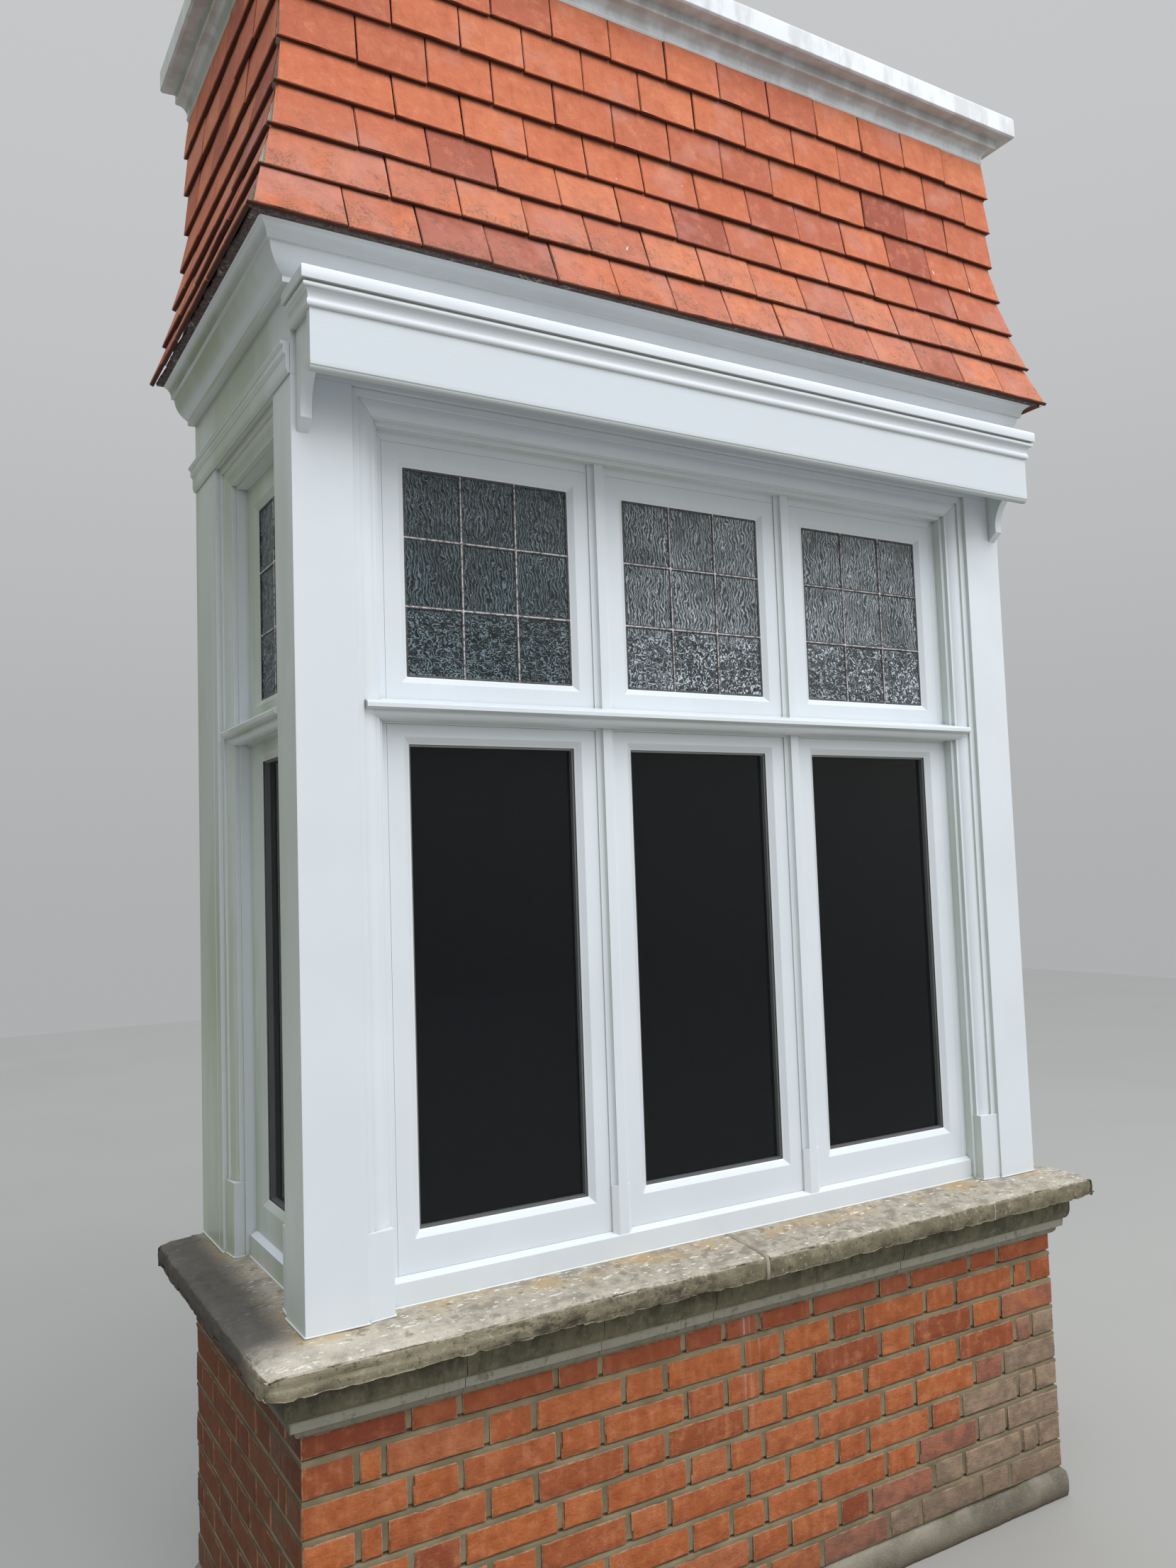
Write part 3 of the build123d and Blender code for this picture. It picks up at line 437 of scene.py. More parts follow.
def stone_finish():
    """Buff sill stone: lichen flecks and worn beds on top, dark and tooled in front."""
    m = Finish("weathered sill stone")
    look = bpy.context.scene.bay_stone
    x, y, z = (m.place.part(a) for a in "XYZ")
    up = m.facing("Z")
    cloud = m.noise(m.place, 7.0, 5.0, 0.6)
    patch = m.noise(m.place, 19.0, 4.0, 0.62)
    fine = m.noise(m.place, 240.0, 4.0, 0.7)
    tooled = m.noise(m.spread(22, 22, 150), 1.0, 4.0, 0.62)
    out = (-y).most(abs(x) - HALF)
    # The tops: bare towards the left, warm by the timber, with streaks and lichen flecks.
    top = m.mix(patch.ramp(0.36, 0.66), tuple(look.top), (0.300, 0.265, 0.215))
    bare = (1 - x.ramp(-1.0, -0.40)) * cloud.ramp(0.36, 0.60)
    top = m.mix(bare * 0.55, top, (0.72, 0.67, 0.56))
    warm = (1 - out.ramp(0.0, 0.05)) * cloud.ramp(0.40, 0.62)
    top = m.mix(warm * 0.8, top, (0.50, 0.36, 0.185))
    top = m.mix((0.45 - patch).ramp(0.0, 0.09) * 0.6, top, (0.150, 0.125, 0.105))
    streaks = m.noise(m.spread(26, 90, 90), 1.0, 4.0, 0.65)
    colony = m.noise(m.spread(5, 9, 9), 1.0, 3.0).ramp(0.46, 0.66)
    top = m.mix((streaks - 0.53).ramp(0.0, 0.12) * 0.42, top, (0.62, 0.57, 0.49))
    flecks = m.noise(m.spread(38, 100, 100), 1.0, 3.0, 0.6)
    top = m.mix((flecks + colony * 0.05 - 0.625).ramp(0.0, 0.03) * 0.85, top, (0.84, 0.81, 0.75))
    lichen = m.noise(m.place, 85.0, 4.0, 0.7)
    # The front edges: worn towards the left, tooled, with lichen and soot.
    front = m.mix(patch.ramp(0.35, 0.68), tuple(look.front), (0.270, 0.235, 0.155))
    worn = (1 - x.ramp(-0.80, -0.05)) * cloud.ramp(0.28, 0.55)
    front = m.mix(worn * 0.72, front, (0.335, 0.298, 0.205))
    front = m.mix(tooled.ramp(0.46, 0.7) * 0.35, front, (0.125, 0.108, 0.075))
    front = m.mix((lichen - 0.57).ramp(0.0, 0.08) * cloud.ramp(0.42, 0.6) * 0.6, front, (0.52, 0.49, 0.38))
    front = m.mix((0.42 - lichen).ramp(0.0, 0.06) * 0.6, front, (0.06, 0.052, 0.036))
    runs = m.noise(m.spread(24, 24, 60), 1.0, 5.0, 0.66).ramp(0.44, 0.62)
    sooty = (m.noise(m.spread(4, 4, 1.5), 1.0, 3.0) - 0.44).ramp(0.0, 0.14) * runs
    front = m.mix(sooty * 0.78, front, (0.050, 0.044, 0.034))
    # Both together, with a pale arris between them and painted shade on the underside.
    edge = z.ramp(SEAT - 0.029, SEAT - 0.014) * out.ramp(0.085, 0.108)
    m.colour = m.mix(up.ramp(0.35, 0.80), front, top)
    m.coat(edge * (streaks * 0.5 + lichen * 0.5).ramp(0.44, 0.58) * 0.6, (0.66, 0.61, 0.53))
    below = (-up).ramp(0.3, 0.8)
    m.coat(below * 0.75, (0.07, 0.062, 0.045))
    # A fine pale joint in the right stone, and painted shade and dark stain on the left return.
    joint = (0.0016 - abs(x - 0.772 + (m.noise(m.place, 30.0, 2.0) - 0.5) * 0.012)).ramp(0.0, 0.0012)
    m.coat(joint * (1 - up.ramp(0.3, 0.6)) * 0.9, (0.62, 0.58, 0.48))
    shaded = (-x).ramp(HALF - 0.04, HALF + 0.05) * y.ramp(-0.10, 0.10)
    m.coat(shaded * patch.ramp(0.1, 0.45) * 0.86, (0.055, 0.050, 0.048))
    pits = (0.40 - fine).ramp(0.0, 0.08)
    m.coat(pits * 0.6, (0.07, 0.06, 0.045))
    normal = m.bump(fine * 0.9 + lichen * 1.1 + tooled * 0.4, 0.0024, 0.9)
    return m.close(0.9, normal, Specular_IOR_Level=0.25)


def tile_finish():
    """Plain clay tile: sanded orange clay, sooty and speckled near the foot of the hanging."""
    m = Finish("plain clay tile")
    look = bpy.context.scene.bay_tile
    tone, tail, edge = m.attribute("tone"), m.attribute("tail"), m.attribute("edge")
    shade = m.attribute("shade")
    z = m.place.part("Z")
    cloud = m.noise(m.place, 9.0, 4.0, 0.6)
    sand = m.noise(m.place, 330.0, 3.0, 0.7)
    drag = m.noise(m.spread(55, 55, 12), 1.0, 4.0, 0.6)
    stops = ((0.0, look.plum), (0.25, look.rose), (0.6, look.orange), (1.0, look.bright))
    m.colour = m.shades(tone, *stops)
    m.coat(cloud.ramp(0.38, 0.66) * 0.32, look.rose)
    m.coat(drag.ramp(0.52, 0.72) * 0.22, (0.38, 0.085, 0.042))
    m.coat((sand - 0.56).ramp(0.0, 0.12) * 0.22, (0.78, 0.34, 0.20))
    # Mottled skin, then the pinker, sooty lowest courses.
    skin = m.noise(m.place, 30.0, 5.0, 0.7)
    m.coat(skin.ramp(0.50, 0.68) * 0.40, (0.44, 0.105, 0.045))
    m.coat((0.50 - skin).ramp(0.0, 0.18) * 0.34, (0.80, 0.310, 0.160))
    low = 1 - z.ramp(TILE_FOOT + 0.10, TILE_FOOT + 0.36)
    m.coat(low * cloud.ramp(0.30, 0.60) * 0.42, (0.54, 0.235, 0.185))
    soot = m.noise(m.place, 24.0, 6.0, 0.78)
    black = (soot + tail * 0.26 - 0.63).ramp(0.0, 0.14) * low
    grain = m.noise(m.place, 190.0, 4.0, 0.75).ramp(0.44, 0.60)
    m.coat(black * grain * 0.72, (0.145, 0.110, 0.070))
    # Bloom, spots and pits.
    bloom = (m.noise(m.place, 6.5, 3.0) - 0.54).ramp(0.0, 0.12)
    m.coat(bloom * 0.26, (0.62, 0.33, 0.28))
    spots = (m.noise(m.spread(44, 44, 22), 1.0, 1.0) - 0.80).ramp(0.0, 0.012)
    m.coat(spots * 0.8, (0.72, 0.66, 0.58))
    pits = (0.285 - m.noise(m.place, 62.0, 4.0, 0.7)).ramp(0.0, 0.03)
    m.coat(pits * 0.7, (0.14, 0.04, 0.02))
    # Scuffed edges, and painted shade in the laps and on the tails.
    scuffed = m.noise(m.place, 60.0, 4.0, 0.7)
    m.coat(edge * scuffed.ramp(0.45, 0.62) * 0.38, (0.84, 0.42, 0.25))
    lap_shade = (1 - m.hollow(0.016)).ramp(0.22, 0.72)
    m.coat(lap_shade * 0.74, (0.085, 0.026, 0.016))
    m.coat(shade * 0.84, (0.060, 0.020, 0.012))
    normal = m.bump(sand * 0.6 + drag * 0.7 + cloud * 1.5 + skin * 1.9, 0.0022, 0.9)
    return m.close(cloud * 0.12 + 0.72, normal, Specular_IOR_Level=0.32)


def felt_finish():
    """Dark bedding and felt under the lowest tiles."""
    m = Finish("bedding under the tiles")
    fine = m.noise(m.place, 130.0, 4.0, 0.7)
    patch = m.noise(m.place, 16.0, 3.0)
    m.colour = m.mix(fine.ramp(0.4, 0.7), (0.075, 0.055, 0.055), (0.19, 0.145, 0.140))
    m.coat((patch - 0.60).ramp(0.0, 0.05) * fine.ramp(0.45, 0.6) * 0.7, (0.50, 0.48, 0.44))
    return m.close(0.9, m.bump(fine, 0.003, 0.9), Specular_IOR_Level=0.25)


def lead_finish(name, light, dark, metal):
    """Lead cames: dull flanges, and beads with a pale painted highlight."""
    m = Finish(name)
    dull = m.noise(m.place, 95.0, 4.0, 0.7)
    fine = m.noise(m.place, 500.0, 3.0, 0.6)
    m.colour = m.mix(dull.ramp(0.46, 0.60), light, dark)
    return m.close(dull * 0.25 + 0.36, m.bump(fine + dull, 0.0006, 0.6), Metallic=metal)


def rippled_finish():
    """Rippled glass, painted dark for the room behind it, with thin, wavy bright threads of painted
    reflection.
    """
    m = Finish("rippled glass")
    tone = m.attribute("tone")
    x, z = m.place.part("X"), m.place.part("Z")
    along = x + m.place.part("Y")
    low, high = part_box("upper_panes_front")
    sway = m.noise(m.place, 24.0, 2.0, 0.5) - 0.5
    quiver = m.noise(m.place, 85.0, 1.0, 0.5) - 0.5
    breaks = m.winding(150, 34, 0.35)
    # Upright threads above, curls in the lowest row.
    wide = (along * 640.0 + sway * 24.0 + quiver * 7.0).math("SINE") * 0.5 + 0.5
    close = (along * 1090.0 + sway * 30.0 - quiver * 9.0).math("SINE") * 0.5 + 0.5
    curled = (m.noise(m.place, 46.0, 2.0, 0.5) * 46.0).math("SINE") * 0.5 + 0.5
    patch = m.noise(m.place, 9.0, 3.0, 0.6)
    row = (z + (patch - 0.5) * 0.16).ramp(low.z + (high.z - low.z) * 0.30, low.z + (high.z - low.z) * 0.40)
    threads = (wide - 0.74).ramp(0.0, 0.24) * breaks.ramp(0.38, 0.55) * 0.8
    threads = threads.most((close - 0.72).ramp(0.0, 0.26) * (0.56 - breaks).ramp(0.0, 0.14))
    curls = (curled - 0.66).ramp(0.0, 0.28) * (quiver + 0.5).ramp(0.36, 0.52)
    bright = threads * row + curls * (1 - row)
    dark = (0.34 - wide).ramp(0.0, 0.26) * row + (0.34 - curled).ramp(0.0, 0.26) * (1 - row)
    # Painted reflection: brighter on ripples that face up and to the left.
    light = m.facing("Z") * 0.9 - m.facing("X") * 0.6
    share = (light + patch * 1.3 - row * 0.05).ramp(0.15, 0.80)
    # Painted reflection and shade: darker behind the left light, and the threads there dimmer.
    sky = m.mix(x.ramp(-0.50, 0.0), (0.17, 0.25, 0.29), (0.66, 0.73, 0.79))
    base = m.mix(x.ramp(-0.45, 0.05), (0.011, 0.023, 0.027), (0.175, 0.205, 0.230))
    m.colour = m.mix(tone * 0.35 + patch * 0.5, (0.010, 0.020, 0.022), base)
    m.coat(dark * 0.75, (0.004, 0.007, 0.009))
    m.coat(bright * (share * 0.80 + 0.15), sky)
    normal = m.bump(wide * row + curled * (1 - row), 0.0016, 0.5)
    return m.close(0.07, normal, IOR=1.52, Specular_IOR_Level=0.40)


def pane_finish(name, along, line):
    """Clear sealed pane: the outer sheet is nearly clear, and the inner one is an almost opaque dark sheet,
    painted shade for the room behind.
    """
    m = Finish(name)
    depth = m.place.part(along)
    depth = abs(depth) if along == "X" else -depth
    outer = depth.ramp(line - 0.001, line + 0.001)
    wave = m.noise(m.spread(2.2, 2.2, 1.5), 1.0, 1.0, 0.3)
    dust = m.noise(m.place, 160.0, 4.0, 0.7)
    z = m.place.part("Z")
    foot = 1 - z.ramp(SEAT + 0.14, SEAT + 0.32)
    m.colour = m.mix(outer, (0.003, 0.004, 0.006), (0.10, 0.11, 0.11))
    alpha = 0.985 - outer * 0.955 + outer * (dust - 0.52).ramp(0.0, 0.2) * foot * 0.10
    normal = m.bump(wave, 0.004, 0.25)
    return m.close(0.02, normal, Alpha=alpha, IOR=1.52, Specular_IOR_Level=0.14)


def spacer_finish():
    """Grey metal frame between the two sheets."""
    m = Finish("spacer bar")
    fine = m.noise(m.place, 700.0, 2.0)
    m.colour = m.mix(fine, (0.20, 0.21, 0.21), (0.33, 0.34, 0.34))
    return m.close(fine * 0.2 + 0.4, m.bump(fine, 0.0003, 0.5), Metallic=0.6)


def board_finish():
    """Weathered deck boards with their grain."""
    m = Finish("weathered deck boards")
    tone = m.attribute("tone")
    grain = m.noise(m.spread(4, 130, 130), 1.0, 5.0, 0.65)
    knots = m.noise(m.spread(6, 30, 30), 1.0, 2.0, 0.5)
    m.colour = m.mix(tone * 0.5 + grain * 0.5, (0.16, 0.135, 0.105), (0.36, 0.325, 0.27))
    m.coat((0.36 - grain).ramp(0.0, 0.08) * 0.7, (0.07, 0.055, 0.04))
    m.coat((knots - 0.66).ramp(0.0, 0.06) * 0.6, (0.10, 0.065, 0.04))
    return m.close(grain * 0.15 + 0.75, m.bump(grain * 1.2 + knots, 0.0016, 0.8), Specular_IOR_Level=0.25)


def plaster_finish():
    """Rough cream plaster on the room side."""
    m = Finish("room plaster")
    cloud = m.noise(m.place, 3.0, 4.0)
    fine = m.noise(m.place, 210.0, 4.0, 0.65)
    trowel = m.noise(m.spread(18, 18, 7), 1.0, 3.0)
    m.colour = m.mix(cloud.ramp(0.3, 0.7), (0.60, 0.575, 0.52), (0.71, 0.69, 0.64))
    m.coat((fine - 0.6).ramp(0.0, 0.1) * 0.25, (0.50, 0.47, 0.41))
    return m.close(0.85, m.bump(fine * 0.4 + trowel, 0.0016, 0.6), Specular_IOR_Level=0.25)


def floor_finish():
    """Plain pale studio floor."""
    m = Finish("studio floor")
    broad = m.noise(m.place, 0.8, 2.0)
    m.colour = m.mix(broad, (0.38, 0.375, 0.352), (0.41, 0.405, 0.382))
    return m.close(0.75, None, Specular_IOR_Level=0.2)


def piece(name, mesh, slot, *nodes, smooth=True, crisp=None):
    """A finished piece: it rides on the bay, takes a finish and may stand for CAD nodes."""
    made = bpy.data.objects.new(name, mesh)
    bpy.context.collection.objects.link(made)
    for face in mesh.polygons:
        face.use_smooth = smooth
    if crisp:
        mesh.set_sharp_from_angle(angle=crisp)
    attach(made, "root")
    if nodes:
        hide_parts(*nodes)


def mesh_of(name, builder, *materials):
    """A plain mesh from a bmesh, with its doubles merged and its faces turned outwards."""
    bmesh.ops.remove_doubles(builder, verts=builder.verts, dist=0.00002)
    bmesh.ops.dissolve_degenerate(builder, edges=builder.edges, dist=0.00002)
    bmesh.ops.recalc_face_normals(builder, faces=builder.faces)
    mesh = bpy.data.meshes.new(name)
    builder.to_mesh(mesh)
    builder.free()
    for material in materials:
        mesh.materials.append(material)
    return mesh


def grown(name, start, tree, values):
    """The plain mesh that a Geometry Nodes tree makes from a starting mesh."""
    holder = bpy.data.objects.new(name, start)
    bpy.context.collection.objects.link(holder)
    modifier = holder.modifiers.new("nodes", "NODES")
    modifier.node_group = tree
    for item in tree.interface.items_tree:
        if item.in_out == "INPUT" and item.name in values:
            modifier[item.identifier] = values[item.name]
    bpy.context.view_layer.update()
    graph = bpy.context.evaluated_depsgraph_get()
    mesh = bpy.data.meshes.new_from_object(holder.evaluated_get(graph), depsgraph=graph)
    mesh.name = name
    holder.modifiers.remove(modifier)
    bpy.data.objects.remove(holder)
    return mesh


def new_tree(name, *sockets):
    """A Geometry Nodes tree with its inputs, and links to each of them by name."""
    made = bpy.data.node_groups.new(name, "GeometryNodeTree")
    made.interface.new_socket("Geometry", in_out="INPUT", socket_type="NodeSocketGeometry")
    made.interface.new_socket("Geometry", in_out="OUTPUT", socket_type="NodeSocketGeometry")
    for label, kind, value in sockets:
        item = made.interface.new_socket(label, in_out="INPUT", socket_type="NodeSocket" + kind)
        if value is not None:
            item.default_value = value
    t = Tree(made)
    entry = made.nodes.new("NodeGroupInput")
    return t, {socket.name: Link(t, socket) for socket in entry.outputs if socket.name}


def named(t, name, kind="FLOAT"):
    return t.node("GeometryNodeInputNamedAttribute", {"data_type": kind}, {"Name": name})


def stored(t, geometry, name, value, kind="FLOAT"):
    settings = {"data_type": kind, "domain": "POINT"}
    values = {"Geometry": geometry, "Name": name, "Value": value}
    return t.node("GeometryNodeStoreNamedAttribute", settings, values)


def units_tree():
    """Bricks, tiles or boards laid on points. Each point says its unit's size, turn, tilt and cuts."""
    t, given = new_tree(
        "laid units",
        ("Columns", "Int", 8),
        ("Layers", "Int", 2),
        ("Rows", "Int", 3),
        ("Arris", "Float", 0.004),
        ("Wear", "Float", 0.002),
        ("Wear Size", "Float", 60.0),
        ("Camber", "Float", 0.0),
        ("Seed", "Float", 1.0),
        ("Material", "Material", None),
    )
    counts = [given["Columns"], given["Layers"], given["Rows"]]
    values = {"Vertices " + axis: number + 1 for axis, number in zip("XYZ", counts)}
    cube = t.node("GeometryNodeMeshCube", None, {"Size": (2.0, 2.0, 2.0), **values})
    spot = t.node("GeometryNodeInputPosition")
    # A block with a grid of points on each of the given points.
    cube = stored(t, cube, "grid", spot, "FLOAT_VECTOR")
    points = stored(t, given["Geometry"], "seat", spot, "FLOAT_VECTOR")
    laid = t.node("GeometryNodeInstanceOnPoints", None, {"Points": points, "Instance": cube})
    laid = t.node("GeometryNodeRealizeInstances", None, {"Geometry": laid})
    grid, size = named(t, "grid", "FLOAT_VECTOR"), named(t, "size", "FLOAT_VECTOR")
    seat = named(t, "seat", "FLOAT_VECTOR")
    # The outer cells of the grid are one arris wide, and its edges are drawn in a little.
    gx, gy, gz = (grid.part(a) for a in "XYZ")
    half = [size.part(a) * 0.5 for a in "XYZ"]
    arris = given["Arris"]
    end_x, end_z = abs(gx) > 0.99, abs(gz) > 0.99
    face, back = gy < -0.99, gy > 0.99
    edge = (end_x + end_z + face + back) > 1.5
    soft = arris * edge * 0.3

    def along(g, end, h, cells):
        inner = g / (1 - 2 / cells).most(0.001) * (h - arris)
        outer = g * (h - soft)
        return inner * (1 - end) + outer * end

    x = along(gx, end_x, half[0], counts[0])
    z = along(gz, end_z, half[2], counts[2])
    y = (1 - face - back) * (arris - half[1]) - face * (half[1] - soft) + back * (half[1] - soft)
    # Noise chips the edges and roughens the faces, differently on each unit.
    jitter = t.vmath("MULTIPLY", seat, (37.0, 53.0, 71.0))
    jitter = t.vmath("ADD", jitter, t.vector(given["Seed"], 0.0, 0.0))
    spread = t.vmath("ADD", t.vector(x, y, z), jitter)
    rough = t.noise(spread, given["Wear Size"], 3.0, 0.6) - 0.5
    bite = t.noise(spread, given["Wear Size"] * 0.45, 2.0, 0.5).ramp(0.54, 0.74)
    wear = given["Wear"]
    loss = edge * (wear * 1.6 * bite + wear * abs(rough) * 2.2)
    x = x - gx * end_x * (loss - rough * wear * 0.8)
    z = z - gz * end_z * (loss - rough * wear * 0.8)
    y = y + face * (loss * 0.6 + rough * wear * 0.8)
    y = y - given["Camber"] * (1 - gz * gz)
    # Ends cut on the slant, then the turns and the place.
    drop = (1 - gz) * 0.5
    left, right = named(t, "cut_left"), named(t, "cut_right")
    x = x + (left * (1 - gx) * 0.5 + right * (1 + gx) * 0.5) * drop
    shape = t.vector(x, y, z)
    for axis, turn in (("Y_AXIS", "roll"), ("X_AXIS", "tilt"), ("Z_AXIS", "turn")):
        values = {"Vector": shape, "Angle": named(t, turn)}
        shape = t.node("ShaderNodeVectorRotate", {"rotation_type": axis}, values)
    values = {"Geometry": laid, "Position": t.vmath("ADD", shape, seat)}
    laid = t.node("GeometryNodeSetPosition", None, values)
    laid = stored(t, laid, "edge", edge)
    laid = stored(t, laid, "tail", drop)
    # Painted shade for faces that look down, and for the backs.
    laid = stored(t, laid, "shade", (gz < -0.99) * (1 - face * 0.55) + back * 0.5)
    laid = t.node("GeometryNodeSetMaterial", None, {"Geometry": laid, "Material": given["Material"]})
    t.node("NodeGroupOutput", None, {0: laid})


def points_mesh(name, units):
    """A cloud of points that carries what each unit needs."""
    mesh = bpy.data.meshes.new(name)
    mesh.from_pydata([u["seat"] for u in units], [], [])
    for key, kind in (
        ("size", "FLOAT_VECTOR"),
        ("turn", "FLOAT"),
        ("tilt", "FLOAT"),
        ("roll", "FLOAT"),
        ("tone", "FLOAT"),
        ("stain", "FLOAT"),
        ("cut_left", "FLOAT"),
        ("cut_right", "FLOAT"),
    ):
        layer = mesh.attributes.new(key, kind, "POINT")
        field = "vector" if kind == "FLOAT_VECTOR" else "value"
        empty = (0.0, 0.0, 0.0) if kind == "FLOAT_VECTOR" else 0.0
        for item, unit in zip(layer.data, units):
            setattr(item, field, unit.get(key, empty))
    return mesh


def laid_units(name, units, values, slot, *nodes):
    """One piece of many like units."""
    mesh = grown(name, points_mesh(name, units), bpy.data.node_groups["laid units"], values)
    for key in ("size", "turn", "tilt", "roll", "cut_left", "cut_right", "seat", "grid"):
        if key in mesh.attributes:
            mesh.attributes.remove(mesh.attributes[key])
    piece(name, mesh, slot, *nodes, crisp=0.5)


# The three sides of the bay: start of the side, its run, the way out of it, and the turn of a unit on it.
SIDES = {
    "front": (Vector((-HALF, 0, 0)), Vector((1, 0, 0)), Vector((0, -1, 0)), 0.0),
    "left": (Vector((-HALF, BACK, 0)), Vector((0, -1, 0)), Vector((-1, 0, 0)), -math.pi / 2),
    "right": (Vector((HALF, 0, 0)), Vector((0, 1, 0)), Vector((1, 0, 0)), math.pi / 2),
}
LENGTHS = {"front": 2 * HALF, "left": BACK, "right": BACK}


def on_side(side, along, out, z):
    start, run, away, _ = SIDES[side]
    place = start + run * along + away * out
    return Vector((place.x, place.y, z))


def bridged(builder, rings):
    """Joins rings of points into one skin, closed at both ends."""
    for a, b in zip(rings, rings[1:]):
        for j in range(len(a)):
            k = (j + 1) % len(a)
            builder.faces.new((a[j], a[k], b[k], b[j]))
    builder.faces.new(rings[0])
    builder.faces.new(rings[-1])


def swept(builder, rows, side, start, end, step, shift=None):
    """A closed section (out, z) run along a side, mitred at the bay's corners and shifted point by point."""
    length = LENGTHS[side]
    corner_first, corner_last = side != "left", side != "right"
    steps = max(1, round((end - start) / step))
    rings = []
    for i in range(steps + 1):
        here = start + (end - start) * i / steps
        ring = []
        for out, z in rows:
            low = -out if corner_first else 0.0
            high = length + out if corner_last else length
            along = min(max(here, low), high)
            if corner_first and i == 0 and start <= 0:
                along = low
            if corner_last and i == steps and end >= length:
                along = high
            place = on_side(side, along, out, z)
            if shift:
                place = shift(place, side, out, z)
            ring.append(builder.verts.new(place))
        rings.append(ring)
    bridged(builder, rings)
    return rings


def all_round(rows, step, shift=None):
    """A section run round all three sides."""
    builder = bmesh.new()
    for side in SIDES:
        swept(builder, rows, side, 0.0, LENGTHS[side], step, shift)
    return builder


def smooth_noise(place, scale, seed=0.0):
    return noise.noise(Vector((place.x * scale + seed, place.y * scale - seed, place.z * scale + 3 * seed)))


# Middles of the upright joints across the front, in metres: Flemish bond, with closers in the second course.
UPRIGHTS = (
    (-0.866, -0.752, -0.522, -0.410, -0.183, -0.067, 0.038, 0.205, 0.428, 0.541, 0.765, 0.878),
    (-0.977, -0.920, -0.692, -0.578, -0.350, -0.239, -0.013, 0.107, 0.266, 0.371, 0.593, 0.707, 0.932, 0.998),
)


def bed_middle(course):
    """Height of the middle of the bed joint over a course."""
    look = bpy.context.scene.bay_brick
    return BRICK_FOOT + look.pitch * (course + 1) - 0.0048


def brick_units():
    """Every brick of the plinth, from the ground up, with cut bricks under the string course."""
    look = bpy.context.scene.bay_brick
    rnd = random.Random(look.seed)
    corner = HALF + BRICK_OUT
    stretcher = look.length
    bond = (
        (CLOSER, stretcher, HEADER, stretcher, HEADER, stretcher),
        (HEADER, stretcher, HEADER, stretcher, HEADER),
    )
    units = []

    def lay(side, a, b, low, high, depth=BRICK_DEPTH):
        wide = b - a - look.joint - rnd.uniform(0, 0.003)
        tall = high - low - rnd.uniform(0, 0.0022)
        out = BRICK_OUT + rnd.uniform(-0.0010, 0.0006)
        middle = (low + high) / 2
        seat = on_side(side, (a + b) / 2, out - depth / 2, middle + rnd.uniform(-0.0008, 0.0008))
        away = {"front": corner - seat.x, "right": seat.y, "left": 9.0}[side]
        reach = 1.95 * max(0.0, 0.60 - middle) ** 1.4
        stain = 0.72 + (reach - away) / 0.34 + rnd.uniform(-0.16, 0.16) if middle < 0.61 else 0.0
        units.append({
            "seat": seat,
            "size": (wide, depth, tall),
            "turn": SIDES[side][3] + rnd.uniform(-0.004, 0.004),
            "tilt": rnd.uniform(-0.006, 0.006),
            "roll": rnd.uniform(-0.004, 0.004) * 0.1 / wide,
            "tone": min(1.0, max(0.0, rnd.gauss(0.55, 0.24))),
            "stain": min(1.0, max(0.0, stain)),
        })

    for course in range(look.courses + 1):
        closers = (look.courses - course) % 2
        low = bed_middle(course - 1) + look.bed / 2 if course else BRICK_FOOT
        high = min(bed_middle(course) - look.bed / 2, BRICK_TOP - 0.0005)
        joints = [-corner - look.joint / 2, *UPRIGHTS[closers], corner + look.joint / 2]
        ends = stretcher if closers else HEADER
        for i, (a, b) in enumerate(zip(joints, joints[1:])):
            at_end = i in (0, len(joints) - 2)
            lay("front", a + HALF, b + HALF, low, high, ends if at_end else BRICK_DEPTH)
        for side in ("left", "right"):
            here = ends - BRICK_OUT
            for width in bond[closers]:
                end = min(here + width + 0.010, BACK + 0.005)
                if end - here > 0.03:
                    a, b = (here, end) if side == "right" else (BACK - end, BACK - here)
                    lay(side, a, b, low, high)
                here = end
    return units


def mortar_rows():
    """Section of the joints: flush on the brick below and struck back under the one above."""
    look = bpy.context.scene.bay_brick
    rows = [(BRICK_OUT - 0.0036, BRICK_FOOT)]
    for course in range(look.courses):
        low, high = bed_middle(course) - look.bed / 2, bed_middle(course) + look.bed / 2
        rows += [
            (BRICK_OUT - 0.0036, low - 0.007),
            (BRICK_OUT - 0.0014, low - 0.0012),
            (BRICK_OUT - 0.0022, low + look.bed * 0.55),
            (BRICK_OUT - 0.0040, high - 0.0030),
            (BRICK_OUT - 0.0085, high - 0.0004),
            (BRICK_OUT - 0.0100, high + 0.0026),
            (BRICK_OUT - 0.0046, high + 0.0070),
        ]
    rows.append((BRICK_OUT - 0.0036, BRICK_TOP))
    return rows


def mortar_shift(place, side, out, z):
    if out < BRICK_OUT - 0.05:
        return place
    wave = smooth_noise(place, 24, 1.0) * 0.0012 + smooth_noise(place, 95, 2.0) * 0.0008
    return place + SIDES[side][2] * wave


def on_mitre(face):
    """True for a face that lies in the mitre plane of a corner."""
    return all(abs(-v.co.y - abs(v.co.x) + HALF) < 0.0001 for v in face.verts)


